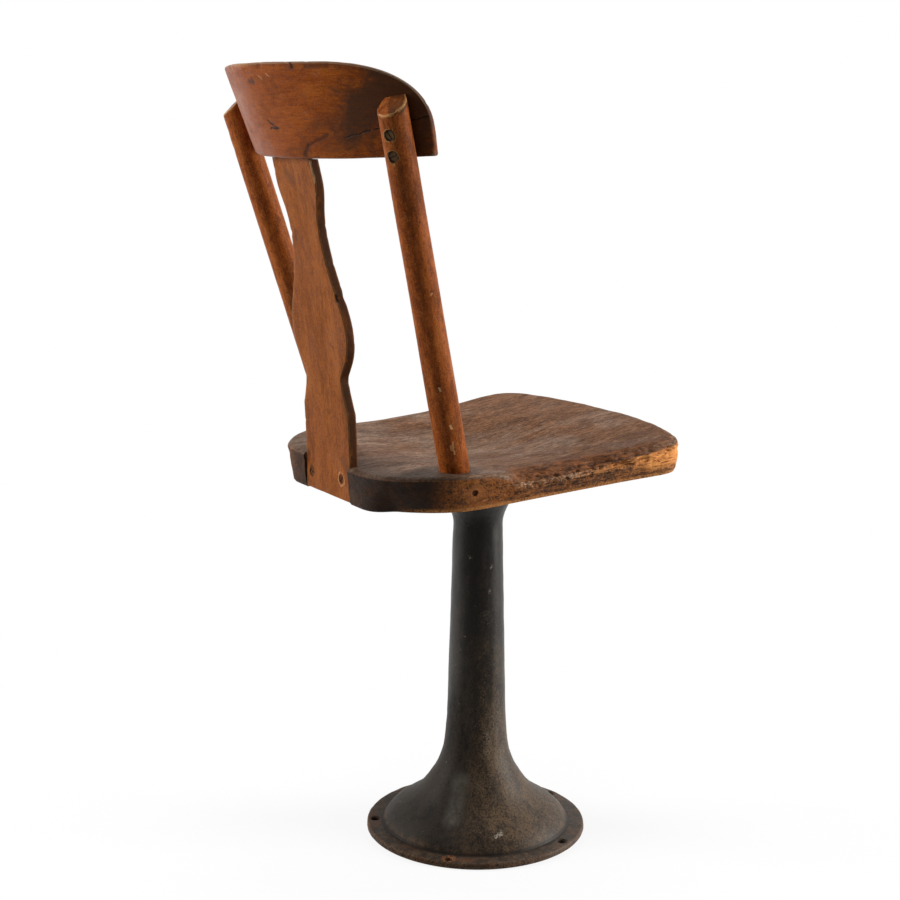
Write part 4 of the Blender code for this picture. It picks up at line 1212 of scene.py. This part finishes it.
CREST_MARKS = placed(on_crest, (
    ((-22.5, 0.7424), (-42.0, 0.7632), 0.0002, 0.0010, 0.95, INK),
    ((0.85, 0.7566), (-2.8, 0.7494), 0.0006, 0.0020, 0.92, INK),
    ((-2.8, 0.7494), (0.8, 0.7500), 0.0004, 0.0016, 0.85, INK),
    ((0.85, 0.7566), (3.6, 0.7645), 0.0001, 0.0008, 0.60, INK),
    ((-9.6, 0.7260), (-11.6, 0.7345), 0.0004, 0.0040, 0.75, SMOKE),
    ((-11.6, 0.7345), (-18.0, 0.7446), 0.0002, 0.0028, 0.70, SMOKE),
    ((3.2, 0.7924), (1.2, 0.7930), 0.0006, 0.0042, 0.70, SMOKE),
    ((-13.4, 0.8042), (-13.0, 0.8080), 0.0004, 0.0030, 0.85, INK),
    ((-17.0, 0.8040), (-22.0, 0.8050), 0.0004, 0.0040, 0.55, SMOKE),
    ((9.0, 0.8074), (2.0, 0.8082), 0.0003, 0.0026, 0.40, RUB),
    ((-4.5, 0.7990), (-5.6, 0.7965), 0.0002, 0.0011, 0.70, RUB),
    ((-1.5, 0.7975), (-2.6, 0.7945), 0.0002, 0.0010, 0.55, RUB),
    ((-24.0, 0.7300), (-36.0, 0.7320), 0.0002, 0.0012, 0.40, INK),
))
SPLAT_MARKS = placed(on_splat, (
    ((0.7190, -1.0), (0.7000, -1.0), 0.0006, 0.0020, 0.75, tone(196, 158, 118)),
    ((0.6900, -0.99), (0.6300, -0.99), 0.0002, 0.0012, 0.55, tone(186, 140, 96)),
    ((0.5930, -0.99), (0.5890, -0.99), 0.0010, 0.0030, 0.85, INK),
    ((0.4240, 0.86), (0.4180, 0.96), 0.0010, 0.0070, 0.45, SMOKE),
    ((0.7070, 0.40), (0.7010, 0.10), 0.0010, 0.0090, 0.40, SMOKE),
    ((0.6500, 0.55), (0.6440, 0.70), 0.0006, 0.0060, 0.30, SMOKE),
    ((0.4300, -0.70), (0.4220, -0.92), 0.0010, 0.0090, 0.35, SMOKE),
))
POST_MARKS = placed(on_post, (
    ((0.6060, 56.0), (0.6050, 50.0), 0.0003, 0.0016, 0.75, tone(212, 160, 104)),
    ((0.5180, 22.0), (0.5150, 26.0), 0.0003, 0.0016, 0.80, tone(216, 172, 124)),
    ((0.4800, 40.0), (0.4770, 44.0), 0.0004, 0.0018, 0.80, tone(214, 168, 118)),
    ((0.4640, 38.0), (0.4520, 36.0), 0.0003, 0.0014, 0.60, tone(206, 156, 104)),
    ((0.4600, 28.0), (0.4560, 30.0), 0.0003, 0.0012, 0.60, tone(206, 156, 104)),
))

iron = iron_look(IRON_MARKS)
splat_wood = wood("splat_wood", tone(98, 46, 10), tone(136, 73, 22), tone(160, 92, 36), tone(170, 116, 66),
                  tone(48, 32, 22), SPLAT_MARKS, splat_rings(),
                  patch=0.20, gloss=0.42, rubbing=0.25, blotch=0.65, shine=0.05)
crest_wood = wood("crest_wood", tone(104, 44, 5), tone(136, 65, 9), tone(156, 83, 22), tone(156, 128, 100),
                  tone(52, 35, 23), CREST_MARKS, patch=0.60, gloss=0.38, rubbing=0.42, shine=0.045)
post_wood = wood("post_wood", tone(90, 42, 14), tone(142, 71, 24), tone(178, 102, 47), tone(206, 154, 96),
                 tone(62, 38, 20), POST_MARKS, screw_rings(), patch=0.45, gloss=0.38, blotch=0.70)
filled = metal_look("screw_filled", tone(102, 57, 26), tone(66, 38, 20), 0.0, 0.45, 0.65, 0.05)
worn_screw = metal_look("screw_worn", tone(104, 76, 44), tone(34, 25, 17), 0.1, 0.40, 0.70, 0.12)
steel = metal_look("screw_steel", tone(40, 31, 24), tone(74, 52, 36), 0.3, 0.45, 0.70)
dark_iron = metal_look("spider_iron", tone(44, 40, 37), tone(70, 56, 45), 0.2, 0.55, 0.80)
brass = metal_look("bush_brass", tone(176, 134, 70), tone(120, 86, 46), 1.0, 0.30, 0.55)
rusty = metal_look("nail_rust", tone(96, 54, 30), tone(58, 34, 22), 0.2, 0.65, 0.90)

make_pedestal(iron)
make_seat(seat_look())
make_splat(splat_wood)
make_crest(crest_wood)
make_post(1.0, "left", post_wood)
make_post(-1.0, "right", post_wood)

# Solids that are shown as they are, by a part of the name; the rest are steel
METALS = {"seat_spider": dark_iron, "spindle_bush": brass, "splat_screw": filled, "crest_screw": worn_screw,
          "nail": rusty, "split_pin": rusty}
for name, node in frame["nodes"].items():
    if not node.hide_render:
        node.data.materials.clear()
        node.data.materials.append(next((METALS[key] for key in METALS if key in name), steel))

# Camera: place, aim and lens follow the photograph's view
CAMERA_TURN, CAMERA_AWAY, CAMERA_H = radians(237.9987), 1.7382, 0.7609
CAMERA_PITCH, CAMERA_YAW, CAMERA_ROLL = radians(11.1729), radians(-0.9926), radians(0.3388)
CAMERA_LENS = 67.396


def make_camera():
    ahead = Vector((-sin(CAMERA_TURN), cos(CAMERA_TURN), 0))
    right = Vector((ahead.y, -ahead.x, 0))
    ahead = ahead * cos(CAMERA_YAW) + right * sin(CAMERA_YAW)
    right = Vector((ahead.y, -ahead.x, 0))
    look = ahead * cos(CAMERA_PITCH) - Vector((0, 0, 1)) * sin(CAMERA_PITCH)
    up = right.cross(look)
    x = right * cos(CAMERA_ROLL) + up * sin(CAMERA_ROLL)
    y = up * cos(CAMERA_ROLL) - right * sin(CAMERA_ROLL)
    data = bpy.data.cameras.new("camera")
    data.lens = CAMERA_LENS
    data.sensor_width = 36.0
    data.clip_start, data.clip_end = 0.05, 60.0
    camera = add_object("camera", data)
    spot = (sin(CAMERA_TURN) * CAMERA_AWAY, -cos(CAMERA_TURN) * CAMERA_AWAY + AXIS_Y, CAMERA_H)
    camera.matrix_world = Matrix.Translation(spot) @ Matrix((x, y, -look)).transposed().to_4x4()
    bpy.context.scene.camera = camera


def area_light(name, direction, away, wide, tall, power):
    data = bpy.data.lights.new(name, "AREA")
    data.shape = "RECTANGLE"
    data.size = wide
    data.size_y = tall
    data.energy = power
    light = add_object(name, data)
    target = Vector((0, AXIS_Y, 0.45))
    light.location = target + Vector(direction).normalized() * away
    light.rotation_euler = (target - light.location).to_track_quat("-Z", "Y").to_euler()


def seen_directly(g):
    """1 for rays from the camera, mirrors and glass."""
    path = g.node("LightPath", {})
    camera, mirror, glass = [Wire(g, path.outputs[f"Is {kind} Ray"])
                             for kind in ("Camera", "Glossy", "Transmission")]
    return g.most(g.most(camera, mirror), glass)


def make_world(ambient):
    world = bpy.data.worlds.new("studio")
    bpy.context.scene.world = world
    g = Graph(world)
    back = g.tree.nodes["Background"]
    g.put(back.inputs["Color"], (1.0, 1.0, 1.0, 1.0))
    g.put(back.inputs["Strength"], g.add("MapRange", {0: seen_directly(g), 3: ambient, 4: 1.0}))


def make_floor():
    """Pale floor that shows white, dimmed where the chair shades it."""
    bm = bmesh.new()
    bmesh.ops.create_grid(bm, x_segments=2, y_segments=2, size=15.0)
    mesh = bpy.data.meshes.new("floor")
    bm.to_mesh(mesh)
    bm.free()
    floor = add_object("floor", mesh)
    floor.location.z = -0.0006
    g = Graph(bpy.data.materials.new("floor_white"))
    seen = seen_directly(g)
    g.put(g.shader.inputs["Roughness"], 0.9)
    g.put(g.shader.inputs["Specular IOR Level"], 0.0)
    g.put(g.shader.inputs["Base Color"], g.mix(seen, (0.42, 0.42, 0.42, 1.0), (0.95, 0.95, 0.95, 1.0)))
    glow = g.add("Emission", {"Strength": 1.0})
    away = g.vector("LENGTH", g.add("TexCoord", {}, "Object"), out=1)
    fade = g.add("MapRange", {0: away, 1: 0.22, 2: 0.75, 3: 0.85, 4: 1.0})
    blend = g.add("MixShader", {0: seen * fade, 1: Wire(g, g.shader.outputs[0]), 2: glow})
    g.put(g.tree.nodes["Material Output"].inputs["Surface"], blend)
    mesh.materials.append(g.owner)


make_camera()
make_floor()
make_world(0.16)
area_light("key_left", (0.48, 0.74, 0.34), 2.4, 1.1, 1.7, 57.0)
area_light("key_right", (-0.52, -0.78, 0.20), 2.4, 0.9, 1.7, 68.0)
area_light("top", (0.1, -0.1, 1.0), 2.4, 1.6, 1.6, 18.0)
bpy.context.scene.view_settings.view_transform = "Standard"
